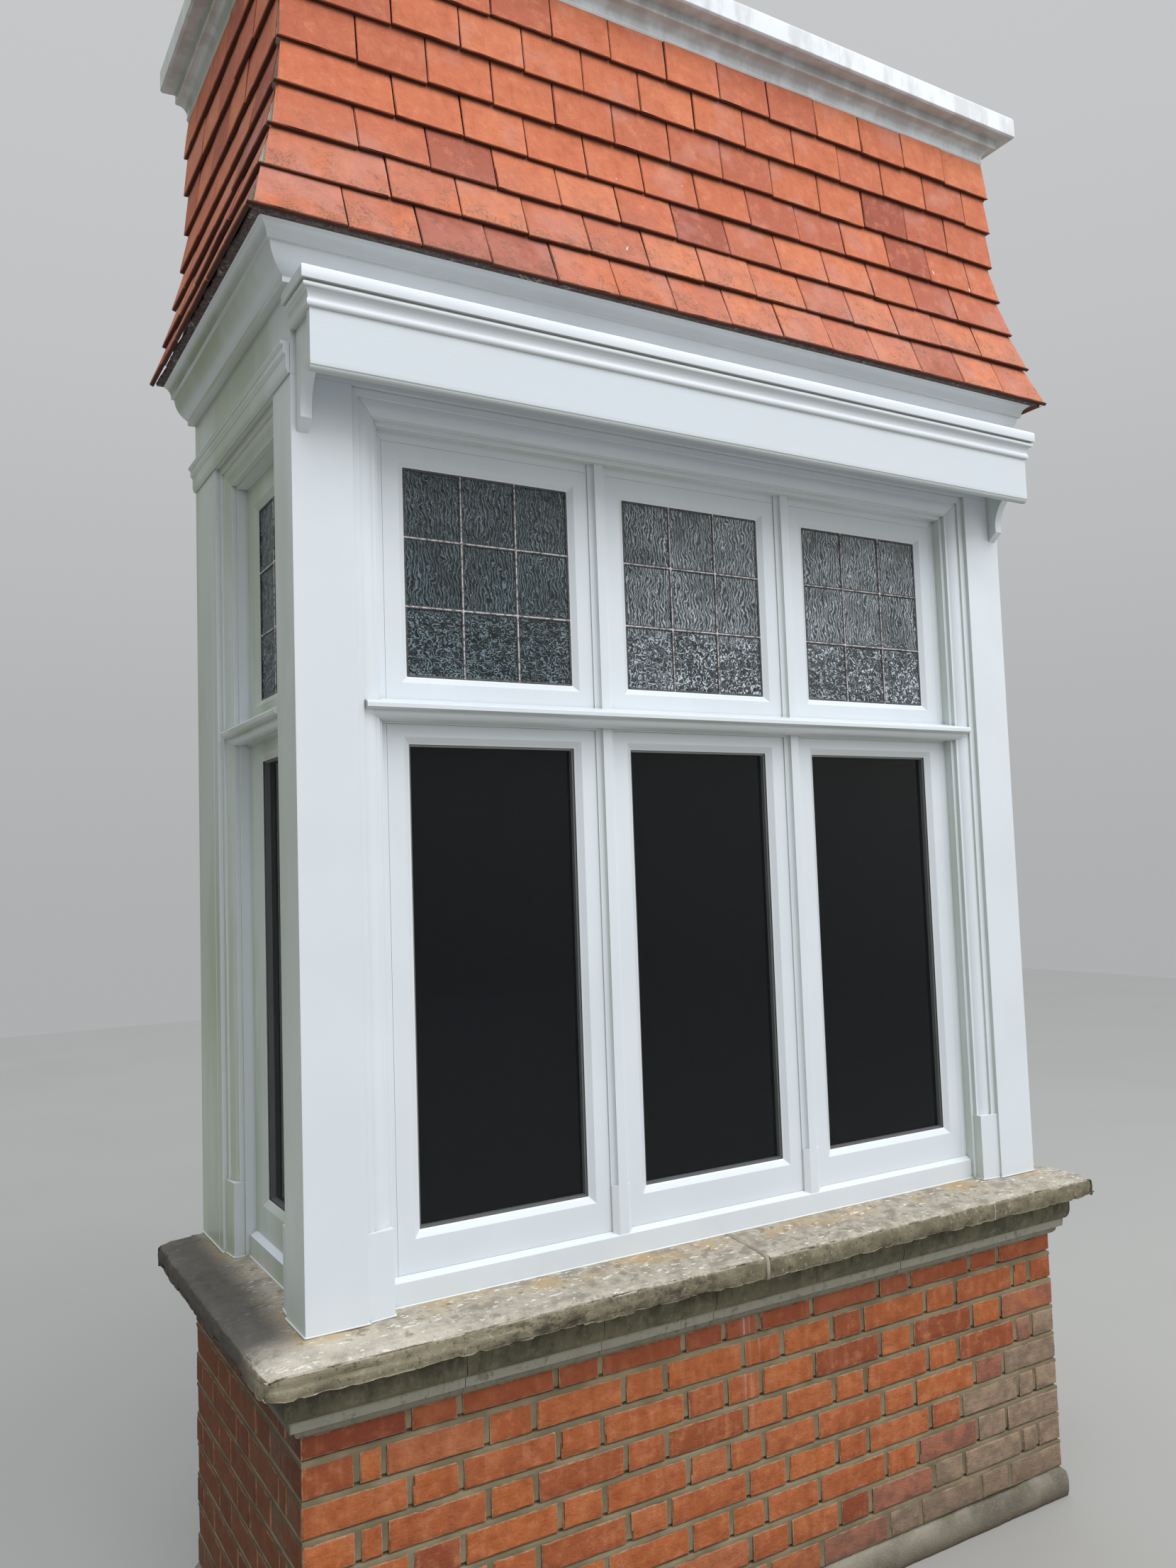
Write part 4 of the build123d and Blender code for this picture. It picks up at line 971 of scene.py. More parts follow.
def weathered(nodes, voxel, worn):
    """CAD solids merged where they are mitred, remeshed finely and worn point by point."""
    builder = bmesh.new()
    for node in nodes:
        builder.from_mesh(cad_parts[node].data)
    bmesh.ops.remove_doubles(builder, verts=builder.verts, dist=0.00002)
    if len(nodes) > 1:
        bmesh.ops.delete(builder, geom=[f for f in builder.faces if on_mitre(f)], context="FACES_ONLY")
    mesh = bpy.data.meshes.new(nodes[0])
    builder.to_mesh(mesh)
    builder.free()
    holder = bpy.data.objects.new(nodes[0], mesh)
    bpy.context.collection.objects.link(holder)
    remesh = holder.modifiers.new("remesh", "REMESH")
    remesh.mode = "VOXEL"
    remesh.voxel_size = voxel
    bpy.context.view_layer.update()
    graph = bpy.context.evaluated_depsgraph_get()
    made = bpy.data.meshes.new_from_object(holder.evaluated_get(graph), depsgraph=graph)
    bpy.data.objects.remove(holder)
    moves = [worn(v.co.copy(), v.normal.copy()) for v in made.vertices]
    for vertex, move in zip(made.vertices, moves):
        vertex.co += move
    made.materials.clear()
    return made


def stone_worn(place, normal):
    """Wear of a sill stone: bruised arrises, a ragged lower edge and an open bed near the left corner."""
    front, side = -place.y, abs(place.x) - HALF
    out = max(front, side)
    if out < -0.02 and place.z > STONE_FOOT + 0.01:
        return Vector((0, 0, -0.0004))
    run = Vector((place.x, place.y, 0))
    face = STONE_OUT - out
    low = place.z - STONE_FOOT
    high = SEAT - 0.011 - place.z
    loss = 0.0006 + 0.0014 * (0.5 + 0.5 * smooth_noise(place, 60, 5.0))
    loss += 0.0022 * (0.5 + 0.5 * smooth_noise(place, 17, 8.0))
    if normal.z > 0.5 and out > 0:
        loss += 0.0030 * max(0.0, smooth_noise(place, 9, 2.0))
        loss += 0.0014 * max(0.0, smooth_noise(place, 45, 4.0))
    # Bites along the lower edge, and a rounded upper one.
    near = max(0.0, 1 - (face + low) / 0.024)
    bites = max(0.0, smooth_noise(run, 8, 21.0)) + max(0.0, smooth_noise(run, 37, 27.0) - 0.1)
    loss += near * (bites * 0.012 + 0.0030)
    top = max(0.0, 1 - (face + high) / 0.026)
    loss += top * (0.0045 + 0.010 * max(0.0, smooth_noise(run, 19, 31.0)))
    # The corner itself.
    turn = max(0.0, 1 - (2 * STONE_OUT - front - side) / 0.050)
    loss += turn * 0.011
    # The open bed near the left corner.
    if place.x < -0.62 and 0 < front and side < 0.11 and face < 0.02:
        bed = STONE_FOOT + 0.030 + 0.012 * (place.x + 1.0) + 0.0015 * smooth_noise(run, 25, 3.0)
        depth = min(1.0, max(0.0, (-0.62 - place.x) / 0.05))
        loss += 0.0075 * depth * max(0.0, 1 - abs(place.z - bed) / 0.0040)
        if place.z > bed:
            loss += 0.0035 * depth
    elif place.x < -0.50 and place.x >= -0.62 and face < 0.02 and place.z < STONE_FOOT + 0.02:
        loss += 0.004
    # The left return is worn further.
    if place.x < -HALF and side > 0.06 and place.y > -0.02:
        loss += 0.010 * max(0.0, smooth_noise(run, 7, 13.0))
        loss += 0.006 * max(0.0, smooth_noise(place, 24, 15.0))
    return normal * -loss


def stone_joint(material):
    """Mortar in the joint between the two front sills, sunk along its middle."""
    section = (
        (-0.126, STONE_FOOT + 0.001),
        (STONE_OUT - 0.006, STONE_FOOT + 0.001),
        (STONE_OUT - 0.002, STONE_FOOT + 0.006),
        (STONE_OUT - 0.0022, SEAT - 0.027),
        (STONE_OUT - 0.008, SEAT - 0.0125),
        (0.06, SEAT - 0.0070),
        (0.0, SEAT - 0.0014),
        (-0.126, SEAT - 0.0012),
    )
    builder = bmesh.new()
    half = 0.0046
    rings = []
    for x in (-half, -0.0015, 0.0015, half):
        ring = []
        for out, z in section:
            sink = 0.0014 * (1 - abs(x) / half) + 0.0012 * noise.noise(Vector((x * 90, out * 60, z * 60)))
            face = sink if out > 0.1 else 0.0
            top = sink if out < 0.1 and z > STONE_FOOT + 0.01 else 0.0
            ring.append(builder.verts.new((x, face - out, z - top)))
        rings.append(ring)
    bridged(builder, rings)
    return mesh_of("stone joint", builder, material)


def tile_face(z):
    """How far the face of the tiles stands out from the posts at a height."""
    look = bpy.context.scene.bay_tile
    rise = (z - TILE_FOOT) / (look.flare_courses * look.gauge)
    return look.face + ((TILE_FLARE - look.face) * (1 - rise) ** 1.6 if rise < 1 else 0.0)


def tile_units(side):
    """The tiles of one side, course by course, with their ends cut to the hips."""
    look = bpy.context.scene.bay_tile
    rnd = random.Random(look.seed + len(side))
    hip_first, hip_last = side != "left", side != "right"
    back_off = 0.0 if side == "front" else look.thick + 0.002
    units = []
    for course in range(look.courses):
        z0 = TILE_FOOT + course * look.gauge
        tail, head = tile_face(z0), tile_face(z0 + look.gauge) - look.step
        slope = (tail - head) / look.gauge
        lean = math.atan(slope)
        lap = LAST_LAP if course == look.courses - 1 else TILE_LAP
        rise = look.gauge + lap
        tall = rise / math.cos(lean)
        begin = back_off - head if hip_first else 0.0
        finish = LENGTHS[side] + (head - back_off if hip_last else 0.0)
        edges = [begin]
        here = begin + look.width * (1.5 if course % 2 else 1.0) * (1.0 if side == "front" else 0.9)
        while here < finish - look.width * 0.55:
            edges.append(here)
            here += look.width + rnd.uniform(-0.002, 0.003)
        edges.append(finish)
        for i, (a, b) in enumerate(zip(edges, edges[1:])):
            cut_first = slope if hip_first and i == 0 else 0.0
            cut_last = slope if hip_last and b == finish else 0.0
            gap = look.gap + rnd.uniform(-0.0006, 0.0012)
            left = a + cut_first * lap + gap / 2
            right = b - cut_last * lap - gap / 2
            out = tail - (tall * math.sin(lean) + look.thick * math.cos(lean)) / 2
            out += rnd.uniform(-0.0015, 0.0012)
            z = z0 + (rise - look.thick * math.sin(lean)) / 2 + rnd.gauss(0, 0.0011)
            tone = rnd.gauss(0.58, 0.24)
            if rnd.random() < 0.10:
                tone = 0.05
            units.append({
                "seat": on_side(side, (left + right) / 2, out, z),
                "size": (right - left, look.thick, tall),
                "turn": SIDES[side][3] + rnd.gauss(0, 0.004),
                "tilt": -lean + rnd.gauss(0, 0.006),
                "roll": rnd.gauss(0, 0.004),
                "tone": min(1.0, max(0.0, tone)),
                "cut_left": -cut_first * rise,
                "cut_right": cut_last * rise,
            })
    return units


def came_tree():
    """Lead cames along the lines of a light, with a rounded section."""
    t, given = new_tree(
        "lead cames",
        ("Width", "Float", 0.007),
        ("Height", "Float", 0.0028),
        ("Waver", "Float", 0.0005),
        ("Outward", "Vector", (0.0, -1.0, 0.0)),
        ("Material", "Material", None),
    )
    lines = t.node("GeometryNodeMeshToCurve", None, {0: given["Geometry"]})
    lines = t.node("GeometryNodeResampleCurve", None, {"Curve": lines, "Count": 40})
    values = {"Curve": lines, "Normal": given["Outward"]}
    lines = t.node("GeometryNodeSetCurveNormal", {"mode": "FREE"}, values)
    ring = t.node("GeometryNodeCurvePrimitiveCircle", None, {"Resolution": 8, "Radius": 0.5})
    size = t.vector(given["Height"], given["Width"], 1.0)
    ring = t.node("GeometryNodeTransform", None, {"Geometry": ring, "Scale": size})
    tube = t.node("GeometryNodeCurveToMesh", None, {"Curve": lines, "Profile Curve": ring, "Fill Caps": True})
    spot = t.node("GeometryNodeInputPosition")
    shake = t.node("ShaderNodeTexNoise", None, {"Vector": spot, "Scale": 90.0, "Detail": 2.0}, 1)
    waver = t.vector(*[given["Waver"]] * 3)
    shake = t.vmath("MULTIPLY", t.vmath("SUBTRACT", shake, (0.5, 0.5, 0.5)), waver)
    tube = t.node("GeometryNodeSetPosition", None, {"Geometry": tube, "Offset": shake})
    tube = t.node("GeometryNodeRealizeInstances", None, {"Geometry": tube})
    tube = t.node("GeometryNodeSetMaterial", None, {"Geometry": tube, "Material": given["Material"]})
    t.node("NodeGroupOutput", None, {0: tube})


def lights_of(side):
    """The leaded lights of a side: middle, half width, foot and head of the glass, and depth of its face."""
    low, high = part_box("upper_panes_front" if side == "front" else "upper_panes_side")
    foot, head = low.z + HELD, high.z - HELD
    if side == "front":
        pitch = (high.x - low.x - 2 * HELD + BETWEEN_LIGHTS) / 3
        return [(step * pitch, (pitch - BETWEEN_LIGHTS) / 2, foot, head, low.y) for step in (-1, 0, 1)]
    return [((low.y + high.y) / 2, (high.y - low.y) / 2 - HELD, foot, head, HALF + low.x)]


def columns_of(side):
    look = bpy.context.scene.bay_glass
    return look.columns if side == "front" else look.side_columns


def lead_lines(low, high, spaces):
    """Where the lead runs between two edges of a light."""
    return [low + (high - low) * i / spaces for i in range(1, spaces)]


def light_place(side, across, depth, z):
    """A point of a light: across it, in from the face of the posts, and up."""
    if side == "front":
        return Vector((across, depth, z))
    return Vector(((depth - HALF) * (1 if side == "left" else -1), across, z))


def quarry(builder, tone, rnd, side, face, across, up):
    """One small pane: a rippled face, a flat back and the rim that joins them."""
    look = bpy.context.scene.bay_glass
    (a0, a1), (z0, z1) = across, up
    lean_a, lean_z = rnd.gauss(0, 0.004), rnd.gauss(0, 0.004)
    seed = rnd.uniform(0, 60)
    shade = rnd.random()
    nu = max(2, round((a1 - a0) / look.ripple_step))
    nv = max(2, round((z1 - z0) / look.ripple_step))

    def point(u, v, flat):
        a = a0 + (a1 - a0) * u / nu
        z = z0 + (z1 - z0) * v / nv
        depth = face + GLASS_THICK
        if not flat:
            inside = min(1.0, 6 * min(u, nu - u) / nu + 0.2) * min(1.0, 6 * min(v, nv - v) / nv + 0.2)
            spot = Vector((a + seed, 0.0, z * 0.45))
            ripple = noise.noise(spot * 90) * 0.9 + noise.noise(spot * 170) * 0.25
            depth = face + 0.0006 - ripple * look.ripple * inside
            depth += (a - (a0 + a1) / 2) * lean_a + (z - (z0 + z1) / 2) * lean_z
        vert = builder.verts.new(light_place(side, a, depth, z))
        vert[tone] = shade
        return vert

    rim = [(u, 0) for u in range(nu)] + [(nu, v) for v in range(nv)]
    rim += [(u, nv) for u in range(nu, 0, -1)] + [(0, v) for v in range(nv, 0, -1)]
    sheet = {(u, v): point(u, v, False) for v in range(nv + 1) for u in range(nu + 1)}
    rear = {spot: point(*spot, True) for spot in rim}
    for v in range(nv):
        for u in range(nu):
            builder.faces.new((sheet[u, v], sheet[u + 1, v], sheet[u + 1, v + 1], sheet[u, v + 1]))
    for a, b in zip(rim, rim[1:] + rim[:1]):
        builder.faces.new((sheet[a], sheet[b], rear[b], rear[a]))
    builder.faces.new([rear[spot] for spot in rim])


def quarries(side, material):
    """Rippled panes of a side, each a little out of true with its neighbours."""
    look = bpy.context.scene.bay_glass
    rnd = random.Random(31 + len(side))
    builder = bmesh.new()
    tone = builder.verts.layers.float.new("tone")
    for middle, half, foot, head, face in lights_of(side):
        left, right = middle - half, middle + half
        uprights = [left - REBATE, *lead_lines(left, right, columns_of(side)), right + REBATE]
        levels = [foot - REBATE, *lead_lines(foot, head, look.rows), head + REBATE]
        for across in zip(uprights, uprights[1:]):
            for up in zip(levels, levels[1:]):
                quarry(builder, tone, rnd, side, face, across, up)
    return mesh_of("quarries " + side, builder, material)


def came_lines(side, rim):
    """The centre lines of the cames, as loose edges, with those round the rim if they are wanted."""
    look = bpy.context.scene.bay_glass
    points = []
    for middle, half, foot, head, face in lights_of(side):
        left, right = middle - half, middle + half
        runs = [(a, foot - 0.004, a, head + 0.004) for a in lead_lines(left, right, columns_of(side))]
        runs += [(left - 0.004, z, right + 0.004, z) for z in lead_lines(foot, head, look.rows)]
        if rim:
            runs += [(a, foot, a, head) for a in (left - 0.001, right + 0.001)]
            runs += [(left, z, right, z) for z in (foot - 0.001, head + 0.001)]
        for depth in (face - 0.0002, face + GLASS_THICK + 0.0002):
            for a0, z0, a1, z1 in runs:
                points += [light_place(side, a0, depth, z0), light_place(side, a1, depth, z1)]
    mesh = bpy.data.meshes.new("came lines")
    mesh.from_pydata(points, [(i, i + 1) for i in range(0, len(points), 2)], [])
    return mesh


def solder(side, material):
    """A flattened, uneven blob of solder on each crossing of the cames."""
    look = bpy.context.scene.bay_glass
    rnd = random.Random(77)
    builder = bmesh.new()
    flat = 0.0022
    for middle, half, foot, head, face in lights_of(side):
        for i, across in enumerate(lead_lines(middle - half, middle + half, columns_of(side)), 1):
            for j, z in enumerate(lead_lines(foot, head, look.rows), 1):
                size = rnd.uniform(0.0036, 0.0046)
                spread = Vector((size, flat, size) if side == "front" else (flat, size, size))
                centre = light_place(side, across, face - 0.0006, z)
                for vert in bmesh.ops.create_icosphere(builder, subdivisions=2, radius=1.0)["verts"]:
                    seed = Vector((i * 5.0, j * 7.0, rnd.random() * 0.1))
                    wobble = 1 + 0.22 * noise.noise(vert.co * 1.7 + seed)
                    vert.co = centre + vert.co * spread * wobble
    return mesh_of("solder", builder, material)


def arris_tree():
    """Shades a piece smooth but for its sharp edges."""
    t, given = new_tree("sharp edges kept", ("Angle", "Float", 0.6))
    values = {"Geometry": given["Geometry"], "Shade Smooth": True}
    smooth = t.node("GeometryNodeSetShadeSmooth", {"domain": "FACE"}, values)
    bend = t.node("GeometryNodeInputMeshEdgeAngle")
    values = {"Geometry": smooth, "Selection": bend > given["Angle"], "Shade Smooth": False}
    t.node("NodeGroupOutput", None, {0: t.node("GeometryNodeSetShadeSmooth", {"domain": "EDGE"}, values)})


def softened(node, width, material):
    """A painted CAD node: its arrises are eased, and it gets its finish."""
    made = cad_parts[node]
    weld = made.modifiers.new("weld", "WELD")
    weld.merge_threshold = 0.00002
    bevel = made.modifiers.new("arrises", "BEVEL")
    bevel.width = width
    bevel.segments = 2
    bevel.limit_method = "ANGLE"
    bevel.angle_limit = math.radians(28)
    bevel.use_clamp_overlap = True
    shade = made.modifiers.new("shading", "NODES")
    shade.node_group = bpy.data.node_groups["sharp edges kept"]
    flat = made.modifiers.new("flat faces", "WEIGHTED_NORMAL")
    flat.keep_sharp = True
    flat.weight = 90
    dress(node, material)


def dress(node, material):
    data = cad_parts[node].data
    if not data.materials:
        data.materials.append(material)
    for i in range(len(data.materials)):
        data.materials[i] = material


def metres(name, description, default):
    """A length in metres, for the sidebar."""
    return bpy.props.FloatProperty(
        name=name, description=description, default=default, subtype="DISTANCE", unit="LENGTH"
    )


def tint(name, description, default):
    """A colour, for the sidebar."""
    return bpy.props.FloatVectorProperty(
        name=name, description=description, default=default, subtype="COLOR", min=0, max=1
    )


def amount(name, description, default, **limits):
    """A number from 0 up, for the sidebar."""
    return bpy.props.FloatProperty(name=name, description=description, default=default, min=0, **limits)


def count(name, description, default):
    """A whole number from 1 up, for the sidebar."""
    return bpy.props.IntProperty(name=name, description=description, default=default, min=1)


class BayBrickSettings(bpy.types.PropertyGroup):
    """Sizes and colours of the brickwork."""

    courses: count("Courses", "Full courses under the cut one", 8)
    pitch: metres("Pitch", "Height of a course and its bed", 0.0745)
    bed: metres("Bed", "Height of the bed joints", 0.0092)
    length: metres("Brick length", "Length of a stretcher", 0.215)
    joint: metres("Joint", "Width of the upright joints", 0.0088)
    arris: metres("Arris", "Width of the worn edge of a brick", 0.0052)
    wear: metres("Wear", "How deep the edges are chipped", 0.0025)
    seed: count("Seed", "Changes the mix of bricks", 5)
    deep: tint("Deep red", "Darkest bricks", (0.26, 0.066, 0.030))
    middle: tint("Red", "Most bricks", (0.42, 0.118, 0.044))
    bright: tint("Orange", "Brightest bricks", (0.50, 0.148, 0.046))
    pale: tint("Pink", "Palest bricks", (0.47, 0.158, 0.068))
    mortar: tint("Mortar", "Colour of the joints", (0.290, 0.240, 0.150))


class BayStoneSettings(bpy.types.PropertyGroup):
    """Sizes and colours of the stone sills and the string course."""

    voxel: metres("Detail", "Grain of the worn surface", 0.0055)
    top: tint("Top", "Colour of the weathered top", (0.54, 0.495, 0.400))
    front: tint("Front", "Colour of the front edge", (0.165, 0.148, 0.098))
    block: metres("Block", "Length of a string block", 0.305)
    joint: metres("Block joint", "Gap between string blocks", 0.0012)


class BayPaintSettings(bpy.types.PropertyGroup):
    """The gloss paint."""

    colour: tint("Paint", "Colour of the gloss paint", (0.775, 0.830, 0.880))
    roughness: amount("Roughness", "How dull the paint is", 0.26, max=1)
    # The crease amount sets the dirt and painted shade in inner corners.
    crease: amount("Crease dirt and shade", "How dark the inner corners are", 0.70, max=1)
    brush: amount("Brush marks", "Strength of the brush marks", 0.35, max=1)
    arris: metres("Arris", "Easing of the painted edges", 0.0018)


class BayGlassSettings(bpy.types.PropertyGroup):
    """The leaded lights."""

    columns: count("Columns", "Quarries across a front light", 3)
    side_columns: count("Side columns", "Quarries across a side light", 2)
    rows: count("Rows", "Quarries up a light", 3)
    came: metres("Came", "Width of the bead of the lead", 0.0036)
    ripple: metres("Ripple", "Depth of the ripples in the glass", 0.0012)
    ripple_step: metres("Ripple detail", "Spacing of the points that carry the ripples", 0.0026)


class BayTileSettings(bpy.types.PropertyGroup):
    """Sizes and colours of the tile hanging."""

    courses: count("Courses", "Courses of tiles", 7)
    gauge: metres("Gauge", "Height of a course that shows", 0.110)
    width: metres("Width", "Width of a tile", 0.165)
    thick: metres("Thickness", "Thickness of a tile", 0.0115)
    step: metres("Step", "How far a tail stands off the tile below", 0.013)
    gap: metres("Gap", "Open joint between tiles", 0.0026)
    face: metres("Face", "How far the upper tiles stand out from the posts", 0.025)
    flare_courses: amount("Flare", "Height of the bell-cast, in courses", 4.2)
    wear: metres("Wear", "How deep the edges are chipped", 0.0023)
    seed: count("Seed", "Changes the mix of tiles", 11)
    plum: tint("Plum", "Darkest tiles", (0.33, 0.080, 0.050))
    rose: tint("Rose", "Pinker tiles", (0.50, 0.138, 0.078))
    orange: tint("Orange", "Most tiles", (0.63, 0.182, 0.086))
    bright: tint("Bright", "Brightest tiles", (0.71, 0.238, 0.115))


class BayStageSettings(bpy.types.PropertyGroup):
    """Light on the stage."""

    sky: amount("Sky", "Strength of the even light all round", 0.92)
    front: amount("Front sky", "Brighter sky in front", 0.75)
    right: amount("Right sky", "Brighter sky on the right", 0.8)
    key: amount("Key", "Power of the large soft light", 270.0, unit="POWER")


class BAY_OT_brickwork(bpy.types.Operator):
    """Lays the brick plinth in Flemish bond, with weather-struck joints"""

    bl_idname = "bay.brickwork"
    bl_label = "Brickwork"

    def execute(self, context):
        look = context.scene.bay_brick
        values = {
            "Columns": 14,
            "Layers": 2,
            "Rows": 5,
            "Arris": look.arris,
            "Wear": look.wear,
            "Wear Size": 75.0,
            "Seed": 3.0,
            "Material": brick_finish(),
        }
        laid_units("bricks", brick_units(), values, "brick", "brick_plinth")
        light = tuple(look.mortar)
        joints = mortar_finish("lime mortar", light, tuple(c * 0.66 for c in light))
        inner = BRICK_OUT - look.length
        rows = mortar_rows() + [(inner, BRICK_TOP), (inner, BRICK_FOOT)]
        mesh = mesh_of("mortar", all_round(rows, 0.016, mortar_shift), joints, plaster_finish())
        for face in mesh.polygons:
            out = max(-face.center.y, abs(face.center.x) - HALF)
            face.material_index = 1 if out < inner + 0.002 else 0
        piece("mortar_joints", mesh, "cement", crisp=0.5)
        return {"FINISHED"}


class BAY_OT_footing(bpy.types.Operator):
    """Makes the rough cement footing"""

    bl_idname = "bay.footing"
    bl_label = "Cement footing"

    def execute(self, context):
        def worn(place, normal):
            if abs(normal.z) < 0.9 or place.z > 0.05:
                loss = 0.004 + 0.004 * smooth_noise(place, 11, 4.0) + 0.0022 * smooth_noise(place, 48, 6.0)
                loss += 0.009 * max(0.0, smooth_noise(place, 6, 9.0))
                if place.z < 0.004:
                    return Vector((normal.x, normal.y, 0)) * -max(0.0, loss)
                inside = max(-place.y, abs(place.x) - HALF) < BRICK_OUT - 0.01
                share = 0.25 if inside or place.y > BACK - 0.006 else 1.0
                return normal * -max(0.0, loss) * share
            return Vector()

        mesh = weathered(("footing",), 0.010, worn)
        mesh.materials.append(cement_finish())
        piece("cement_footing", mesh, "cement", "footing")
        return {"FINISHED"}


class BAY_OT_stonework(bpy.types.Operator):
    """Makes the moulded string blocks and the weathered sill stones"""

    bl_idname = "bay.stonework"
    bl_label = "String course and sills"

    def execute(self, context):
        look = context.scene.bay_stone
        stone = stone_finish()
        for hand in ("left", "right"):
            nodes = ("sill_stone_front_" + hand, "sill_stone_return_" + hand)
            mesh = weathered(nodes, look.voxel, stone_worn)
            mesh.materials.append(stone)
            piece("worn_sill_" + hand, mesh, "sill_stone", *nodes)
        light = mortar_finish("pale joint", (0.42, 0.39, 0.31), (0.27, 0.24, 0.18))
        piece("sill_joint", stone_joint(light), "cement")
        self.string(look)
        return {"FINISHED"}

    def string(self, look):
        """Blocks of the string course, with thin open joints that wander."""
        mould = (
            (0.0, 0.0),
            (0.0052, 0.0),
            (0.0129, 0.0074),
            (0.0159, 0.0190),
            (0.0215, 0.0200),
            (0.0271, 0.0212),
            (0.0288, 0.0424),
            (0.0340, 0.0440),
            (0.0391, 0.0509),
            (0.0420, 0.0600),
            (0.0430, 0.0700),
            (0.0430, 0.0880),
        )
        inner = BRICK_OUT - 0.100
        rows = [(inner, BRICK_TOP)]
        rows += [(BRICK_OUT + out, BRICK_TOP + up) for out, up in mould]
        rows += [(rows[-1][0], STONE_FOOT), (inner, STONE_FOOT)]
        builder = bmesh.new()
        tone = builder.verts.layers.float.new("tone")
        rnd = random.Random(19)
        for side in SIDES:
            length = LENGTHS[side]
            edges = [0.0]
            while edges[-1] < length - look.block * 1.4:
                edges.append(edges[-1] + look.block * rnd.uniform(0.86, 1.14))
            edges.append(length)
            for i, (a, b) in enumerate(zip(edges, edges[1:])):
                a = a if i == 0 else a + look.joint / 2
                b = b if b == length else b - look.joint / 2
                push = rnd.uniform(-0.0010, 0.0)
                seed = rnd.uniform(0, 50)
                shade = rnd.random()

                def shift(place, where, out, z):
                    if out < BRICK_OUT - 0.01:
                        return place
                    start, run, away, _ = SIDES[where]
                    along = (place - start).dot(run)
                    near = min(abs(along - a) if i else 1.0, abs(along - b) if b < length else 1.0)
                    end = a if abs(along - a) < abs(along - b) else b
                    wander = 0.0035 * noise.noise(Vector((z * 38, end * 9, 1.5)))
                    ease = max(0.0, 1 - near / 0.007)
                    loss = 0.0009 * (0.5 + smooth_noise(place, 45, seed)) + 0.0014 * ease * ease
                    return place + away * (push - loss) + run * wander * max(0.0, 1 - near / 0.05)

                for ring in swept(builder, rows, side, a, b, 0.022, shift):
                    for vert in ring:
                        vert[tone] = shade
        mesh = mesh_of("string blocks", builder, string_finish())
        piece("string_blocks", mesh, "string_stone", "string_course", crisp=0.5)


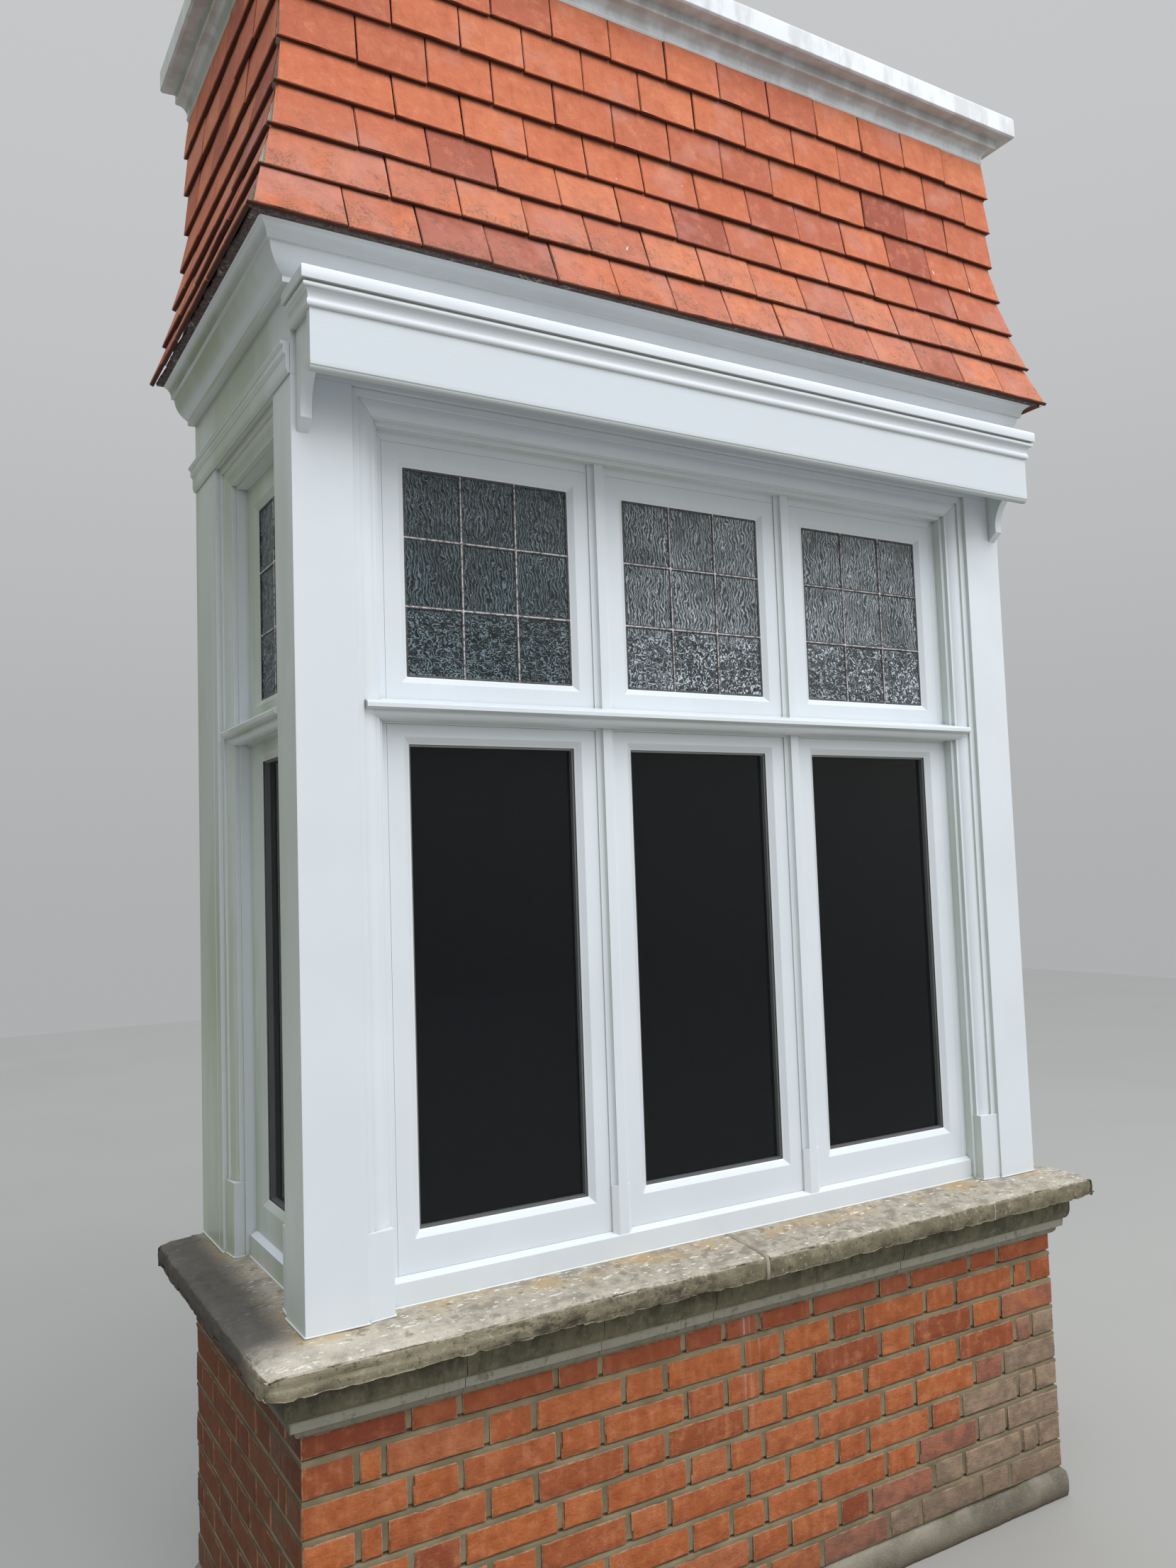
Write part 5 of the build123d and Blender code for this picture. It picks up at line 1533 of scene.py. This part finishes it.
class BAY_OT_joinery(bpy.types.Operator):
    """Eases the painted edges and gives the joinery its gloss paint"""

    bl_idname = "bay.joinery"
    bl_label = "Painted joinery"

    def execute(self, context):
        look = context.scene.bay_paint
        upright = gloss_paint("gloss paint on uprights", "Z")
        level = gloss_paint("gloss paint on front rails", "X")
        return_rail = gloss_paint("gloss paint on side rails", "Y")
        groups = (
            (upright, 0.7, ("corner_post_left", "corner_post_right", "wall_posts", "mullions")),
            (upright, 0.35, ("lower_sashes_front", "upper_sashes_front")),
            (upright, 0.35, ("lower_sashes_side", "upper_sashes_side")),
            (level, 0.7, ("timber_sill_front", "transom_front", "head_front", "head_beam")),
            (level, 0.8, ("blind_box_fascia", "blind_box_brackets")),
            (level, 1.0, ("crown_cornice_front", "capping_sill_front", "window_board_front")),
            (return_rail, 0.9, ("timber_sills_side", "transoms_side", "heads_side", "side_bands")),
            (return_rail, 1.0, ("crown_cornices_side", "capping_sills_side", "window_boards_side")),
        )
        for material, share, nodes in groups:
            for node in nodes:
                softened(node, look.arris * share, material)
        self.cap(level)
        self.paint_line()
        return {"FINISHED"}

    def cap(self, material):
        """Cap of the blind box: a bead, a hollow, a roll and a flat band, returned at both ends."""
        low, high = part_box("blind_box_cap")
        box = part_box("blind_box_fascia")
        end, out, foot = box[1].x, -box[0].y, low.z
        reach, tall = high.x - end, (high.z - low.z) / 1.125
        bead, roll = (0.1, 0.5, 1.0, 1.5, 2.0, 2.5, 2.9), (0.3, 0.8, 1.3, 1.8, 2.3, 2.8)
        face = [(0.0, 0.0), (0.08, 0.0)]
        face += [(0.18 + 0.15 * math.sin(a), 0.115 - 0.10 * math.cos(a)) for a in bead]
        face += [(0.20, 0.235), (0.22, 0.29), (0.27, 0.35), (0.35, 0.405), (0.46, 0.445), (0.58, 0.465)]
        face += [(0.66 + 0.13 * math.sin(a), 0.54 - 0.07 * math.cos(a)) for a in roll]
        face += [(0.56, 0.615), (0.55, 0.65), (0.97, 0.66)]
        face += [(1.0, 0.69), (1.0, 0.97), (0.96, 1.0), (0.9, 1.02)]
        rows = [(across * reach, foot + up * tall) for across, up in face] + [(-out, high.z), (-out, foot)]
        builder = bmesh.new()
        rings = []
        for hand, share in ((-1, 0.0), *((0, i / 60) for i in range(61)), (1, 1.0)):
            ring = []
            for across, z in rows:
                half = end + across
                spot = Vector((hand * half, 0.0, z))
                if hand == 0:
                    spot = Vector((-half + 2 * half * share, -(out + across), z))
                    loose = min(1.0, 12 * share, 12 * (1 - share)) * (0.002 < across < reach * 0.96)
                    spot.y += 0.0007 * loose * smooth_noise(spot, 7, 3.0)
                    spot.z += 0.0006 * loose * smooth_noise(spot, 5, 9.0)
                ring.append(builder.verts.new(spot))
            rings.append(ring)
        bridged(builder, rings)
        mesh = mesh_of("moulded cap", builder, material)
        piece("moulded_cap", mesh, "painted_timber", "blind_box_cap", crisp=0.7)

    def paint_line(self):
        """The ragged edge of paint where the joinery stands on the stone."""
        sill, side_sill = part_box("timber_sill_front")[0].y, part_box("timber_sills_side")[1].x
        wall = BACK - WALL_POST
        route = [
            (HALF, BACK - 0.002),
            (HALF, wall),
            (HALF - STOP_STEP, wall),
            (HALF - 2 * STOP_STEP, wall - STOP_WIDTH),
            (side_sill, wall - STOP_WIDTH),
            (side_sill, POST_SIDE + STOP_WIDTH),
            (HALF - 2 * STOP_STEP, POST_SIDE + STOP_WIDTH),
            (HALF - STOP_STEP, POST_SIDE),
            (HALF, POST_SIDE),
            (HALF, 0.0),
            (HALF - POST_FRONT, 0.0),
            (HALF - POST_FRONT, STOP_STEP),
            (HALF - POST_FRONT - STOP_WIDTH, 2 * STOP_STEP),
            (HALF - POST_FRONT - STOP_WIDTH, sill),
        ]
        route += [(-x, y) for x, y in reversed(route)]
        builder = bmesh.new()
        rings = []
        for start, end in zip(route, route[1:]):
            a, b = Vector((*start, SEAT)), Vector((*end, SEAT))
            length = (b - a).length
            away = Vector((b.y - a.y, a.x - b.x, 0)) / length
            steps = max(1, round(length / 0.006))
            for i in range(steps + 1):
                spot = a + (b - a) * i / steps
                wide = 0.0005 + 0.0013 * (0.5 + noise.noise(spot * 90))
                wide += 0.006 * max(0.0, noise.noise(spot * 24) - 0.08)
                drop = Vector((0, 0, 0.0002 - STONE_FALL * max(0.0, wide - spot.y)))
                base, lip = spot - Vector((0, 0, 0.0022)), spot + Vector((0, 0, 0.0012))
                rings.append([
                    builder.verts.new(base - away * 0.003),
                    builder.verts.new(base + away * wide),
                    builder.verts.new(spot + away * wide * 0.7 + drop),
                    builder.verts.new(lip + away * 0.0003),
                    builder.verts.new(lip - away * 0.003),
                ])
        bridged(builder, rings)
        mesh = mesh_of("paint line", builder, bpy.data.materials["gloss paint on front rails"])
        piece("paint_line_on_stone", mesh, "painted_timber")


class BAY_OT_leaded_lights(bpy.types.Operator):
    """Makes the leaded lights: rippled quarries, lead cames and solder"""

    bl_idname = "bay.leaded_lights"
    bl_label = "Leaded lights"

    def execute(self, context):
        look = context.scene.bay_glass
        glass = rippled_finish()
        # The pale colour of the beads and solder is a painted highlight.
        lead = lead_finish("lead with painted highlights", (0.74, 0.68, 0.69), (0.17, 0.15, 0.155), 0.15)
        dull = lead_finish("dull lead", (0.075, 0.075, 0.08), (0.03, 0.03, 0.032), 0.0)
        flange = {"Width": look.came * 2.6, "Height": 0.0022, "Waver": 0.0006, "Material": dull}
        bead = {"Width": look.came, "Height": 0.0042, "Waver": 0.0011, "Material": lead}
        for side in SIDES:
            nodes = {"front": ("upper_panes_front",), "left": ("upper_panes_side",), "right": ()}[side]
            piece("quarries_" + side, quarries(side, glass), "leaded_glass", *nodes)
            for part, values in (("flanges", flange), ("beads", bead)):
                values["Outward"] = SIDES[side][2]
                lines = came_lines(side, part == "flanges")
                cames = grown(part + side, lines, bpy.data.node_groups["lead cames"], values)
                piece("came_" + part + "_" + side, cames, "leaded_glass")
            piece("solder_" + side, solder(side, lead), "leaded_glass")
        return {"FINISHED"}


class BAY_OT_sealed_panes(bpy.types.Operator):
    """Gives the sealed lower panes their glass and spacer bars"""

    bl_idname = "bay.sealed_panes"
    bl_label = "Lower panes"

    def execute(self, context):
        low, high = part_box("lower_panes_front")
        line = (low.y + high.y) / 2
        dress("lower_panes_front", pane_finish("sealed pane, front", "Y", -line))
        dress("lower_panes_side", pane_finish("sealed pane, returns", "X", HALF - line))
        dress("pane_spacers", spacer_finish())
        return {"FINISHED"}


class BAY_OT_tile_hanging(bpy.types.Operator):
    """Hangs the clay tiles, with their bell-cast foot, hips, boarding and bedding"""

    bl_idname = "bay.tile_hanging"
    bl_label = "Tile hanging"

    def execute(self, context):
        look = context.scene.bay_tile
        clay = tile_finish()
        values = {
            "Columns": 9,
            "Layers": 2,
            "Rows": 5,
            "Arris": 0.0018,
            "Wear": look.wear,
            "Wear Size": 60.0,
            "Camber": 0.0012,
            "Seed": 9.0,
            "Material": clay,
        }
        for side in SIDES:
            nodes = {"front": ("tile_skirt_front",), "left": ("tile_skirts_side",), "right": ()}[side]
            laid_units("tiles_" + side, tile_units(side), values, "clay_tile", *nodes)
        self.boarding(look)
        self.bedding(look)
        self.hips(look)
        return {"FINISHED"}

    def boarding(self, look):
        """Boarding that the tiles hang on, which shows from inside."""
        rows = []
        heights = [TILE_FOOT + look.gauge * c for c in (0.0, 0.5, 1.0, 1.5, 2.0, 2.6, 3.2, 4.2, look.courses)]
        for z in heights:
            rows.append((tile_face(z) - 0.030 - (0.020 if z == TILE_FOOT else 0.012), z))
        for z in reversed(heights):
            rows.append((tile_face(z) - 0.056 - (0.014 if z == TILE_FOOT else 0.0), z))
        mesh = mesh_of("boarding", all_round(rows, 0.25), board_finish())
        piece("tile_boarding", mesh, "clay_tile", smooth=False)

    def bedding(self, look):
        """Dark, ragged bedding between the cornice and the lowest tiles."""
        tail = tile_face(TILE_FOOT)
        rows = [
            (CROWN_OUT - 0.030, TILE_FOOT + 0.0005),
            (tail - 0.018, TILE_FOOT + 0.0005),
            (tail - 0.015, TILE_FOOT + 0.005),
            (tail - 0.019, TILE_FOOT + 0.013),
            (CROWN_OUT - 0.030, TILE_FOOT + 0.030),
        ]

        def shift(place, side, out, z):
            if out < CROWN_OUT:
                return place
            ragged = 0.005 * smooth_noise(place, 28, 3.0) + 0.003 * smooth_noise(place, 90, 5.0)
            lift = Vector((0, 0, 0.0012 * smooth_noise(place, 60, 8.0)))
            return place + SIDES[side][2] * (ragged - 0.003) + lift

        mesh = mesh_of("bedding", all_round(rows, 0.010, shift), felt_finish())
        piece("tile_bedding", mesh, "cement", crisp=0.6)

    def hips(self, look):
        """Mortar that closes the two hips behind the tiles' cut ends."""
        builder = bmesh.new()
        steps = 110
        for hand in (-1, 1):
            rings = []
            for i in range(steps + 1):
                z = TILE_FOOT + 0.004 + (TILE_HEAD - TILE_FOOT - 0.006) * i / steps
                course = min(look.courses - 1, int((z - TILE_FOOT) / look.gauge))
                z0 = TILE_FOOT + course * look.gauge
                share = (z - z0) / look.gauge
                out = tile_face(z0) + (tile_face(z0 + look.gauge) - look.step - tile_face(z0)) * share
                spot = Vector((hand * HALF, 0, z))
                ragged = 0.0022 * noise.noise(spot * 70) + 0.0015 * noise.noise(spot * 23)
                side = HALF + out - 0.0028 + ragged
                front, back = look.thick - 0.001 - out, look.thick + 0.016 - out
                corners = ((side, front), (side, back), (side - 0.024, back), (side - 0.024, front))
                rings.append([builder.verts.new((hand * x, y, z)) for x, y in corners])
            bridged(builder, rings)
        mesh = mesh_of("hips", builder, mortar_finish("hip mortar", (0.42, 0.38, 0.32), (0.20, 0.15, 0.11)))
        piece("hip_mortar", mesh, "cement")


class BAY_OT_deck_and_room(bpy.types.Operator):
    """Lays the boards of the deck and finishes the room side"""

    bl_idname = "bay.deck_and_room"
    bl_label = "Deck and ceiling"

    def execute(self, context):
        low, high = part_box("top_deck")
        rnd = random.Random(23)
        boards = round((high.y - low.y) / 0.115)
        wide = (high.y - low.y) / boards
        units = []
        for i in range(boards):
            breaks = [low.x, low.x + (high.x - low.x) * rnd.uniform(0.35, 0.65), high.x]
            for a, b in zip(breaks, breaks[1:]):
                level = (low.z + high.z) / 2 - rnd.uniform(0, 0.0012)
                units.append({
                    "seat": ((a + b) / 2, low.y + wide * (i + 0.5), level),
                    "size": (b - a - 0.0015, wide - 0.003, high.z - low.z - 0.0015),
                    "tone": rnd.random(),
                })
        values = {"Columns": 12, "Layers": 4, "Rows": 2, "Arris": 0.0015, "Wear": 0.0006, "Wear Size": 30.0}
        values["Material"] = bpy.data.materials["weathered deck boards"]
        laid_units("deck_boards", units, values, "deck_board", "top_deck")
        dress("ceiling", bpy.data.materials["room plaster"])
        return {"FINISHED"}


class BAY_OT_stage(bpy.types.Operator):
    """Sets the floor, the lights and the camera"""

    bl_idname = "bay.stage"
    bl_label = "Stage"

    def execute(self, context):
        scene = context.scene
        look = scene.bay_stage
        builder = bmesh.new()
        bmesh.ops.create_grid(builder, x_segments=4, y_segments=4, size=14.0)
        mesh = bpy.data.meshes.new("studio floor")
        builder.to_mesh(mesh)
        builder.free()
        mesh.materials.append(floor_finish())
        floor = bpy.data.objects.new("studio_floor", mesh)
        scene.collection.objects.link(floor)
        world = bpy.data.worlds.new("studio")
        scene.world = world
        world.use_nodes = True
        sky = Tree(world.node_tree)
        way = sky.node("ShaderNodeTexCoord", None, None, "Generated")
        level = way.part("Z").ramp(-0.02, 0.95)
        front = self.lobe(sky, way, (0.34, -0.82, 0.46)) ** 12
        right = self.lobe(sky, way, (0.80, -0.54, 0.26)) ** 10
        strength = (level * 1.15 + front * look.front + right * look.right + 0.15) * look.sky
        seen = sky.node("ShaderNodeLightPath")
        plain = way.part("Z").ramp(-0.1, 0.6) * 0.14 + 0.44
        strength = strength * (1 - seen) + plain * seen
        hue = {0: way.part("Z").ramp(-0.1, 0.7), 6: (1.04, 1.0, 0.90), 7: (0.935, 0.98, 1.05)}
        hue = sky.node("ShaderNodeMix", {"data_type": "RGBA"}, hue, 2)
        hue = sky.node("ShaderNodeMix", {"data_type": "RGBA"}, {0: seen, 6: hue, 7: (0.97, 0.98, 1.0)}, 2)
        back = sky.node("ShaderNodeBackground", None, {"Color": hue, "Strength": strength})
        sky.node("ShaderNodeOutputWorld", None, {"Surface": back})
        self.area("key light", (-0.4, -4.8, 8.6), (0.0, 0.0, 1.9), 5.0, look.key, (1.0, 0.985, 0.96))
        self.area("fill light", (4.2, -2.8, 8.2), (0.2, 0.0, 1.8), 3.4, look.key * 0.5, (0.96, 0.98, 1.0))
        scene.view_settings.view_transform = "Standard"
        self.camera(scene)
        return {"FINISHED"}

    def lobe(self, sky, way, aim):
        """How nearly a direction of the sky points along aim."""
        return sky.node("ShaderNodeVectorMath", {"operation": "DOT_PRODUCT"}, {0: way, 1: aim}, 1).most(0.0)

    def area(self, name, place, aim, size, power, colour):
        light = bpy.data.lights.new(name, "AREA")
        light.size = size
        light.energy = power
        light.color = colour
        made = bpy.data.objects.new(name, light)
        made.location = place
        made.rotation_mode = "QUATERNION"
        made.rotation_quaternion = (Vector(aim) - Vector(place)).to_track_quat("-Z", "Y")
        bpy.context.scene.collection.objects.link(made)

    def camera(self, scene):
        data = bpy.data.cameras.new("camera")
        data.sensor_width = 36.0
        data.lens = data.sensor_width / PICTURE_HEIGHT * FOCAL_DOTS
        data.clip_end = 60.0
        made = bpy.data.objects.new("camera", data)
        scene.collection.objects.link(made)
        turn = Matrix.Identity(3)
        for axis, angle in CAMERA_TURNS:
            turn = turn @ Matrix.Rotation(angle, 3, axis)
        right, ahead, up = turn
        axes = Matrix((right, up, -ahead)).transposed()
        made.matrix_world = Matrix.Translation(CAMERA_PLACE) @ axes.to_4x4()
        scene.camera = made


class BAY_PT_window(bpy.types.Panel):
    """The steps that finish the bay"""

    bl_label = "Bay window"
    bl_idname = "BAY_PT_window"
    bl_space_type = "VIEW_3D"
    bl_region_type = "UI"
    bl_category = "Bay window"

    def draw(self, context):
        for name in STEPS:
            self.layout.operator("bay." + name)


STEPS = (
    "brickwork",
    "footing",
    "stonework",
    "joinery",
    "leaded_lights",
    "sealed_panes",
    "tile_hanging",
    "deck_and_room",
    "stage",
)
SETTINGS = {
    "bay_brick": BayBrickSettings,
    "bay_stone": BayStoneSettings,
    "bay_paint": BayPaintSettings,
    "bay_glass": BayGlassSettings,
    "bay_tile": BayTileSettings,
    "bay_stage": BayStageSettings,
}
CLASSES = (
    *SETTINGS.values(),
    BAY_OT_brickwork,
    BAY_OT_footing,
    BAY_OT_stonework,
    BAY_OT_joinery,
    BAY_OT_leaded_lights,
    BAY_OT_sealed_panes,
    BAY_OT_tile_hanging,
    BAY_OT_deck_and_room,
    BAY_OT_stage,
    BAY_PT_window,
)


def register():
    for made in CLASSES:
        bpy.utils.register_class(made)
    for name, made in SETTINGS.items():
        setattr(bpy.types.Scene, name, bpy.props.PointerProperty(type=made))


def unregister():
    for name in SETTINGS:
        delattr(bpy.types.Scene, name)
    for made in reversed(CLASSES):
        bpy.utils.unregister_class(made)


def main():
    register()
    units_tree()
    came_tree()
    arris_tree()
    for name in STEPS:
        getattr(bpy.ops.bay, name)()


if __name__ == "__main__":
    main()
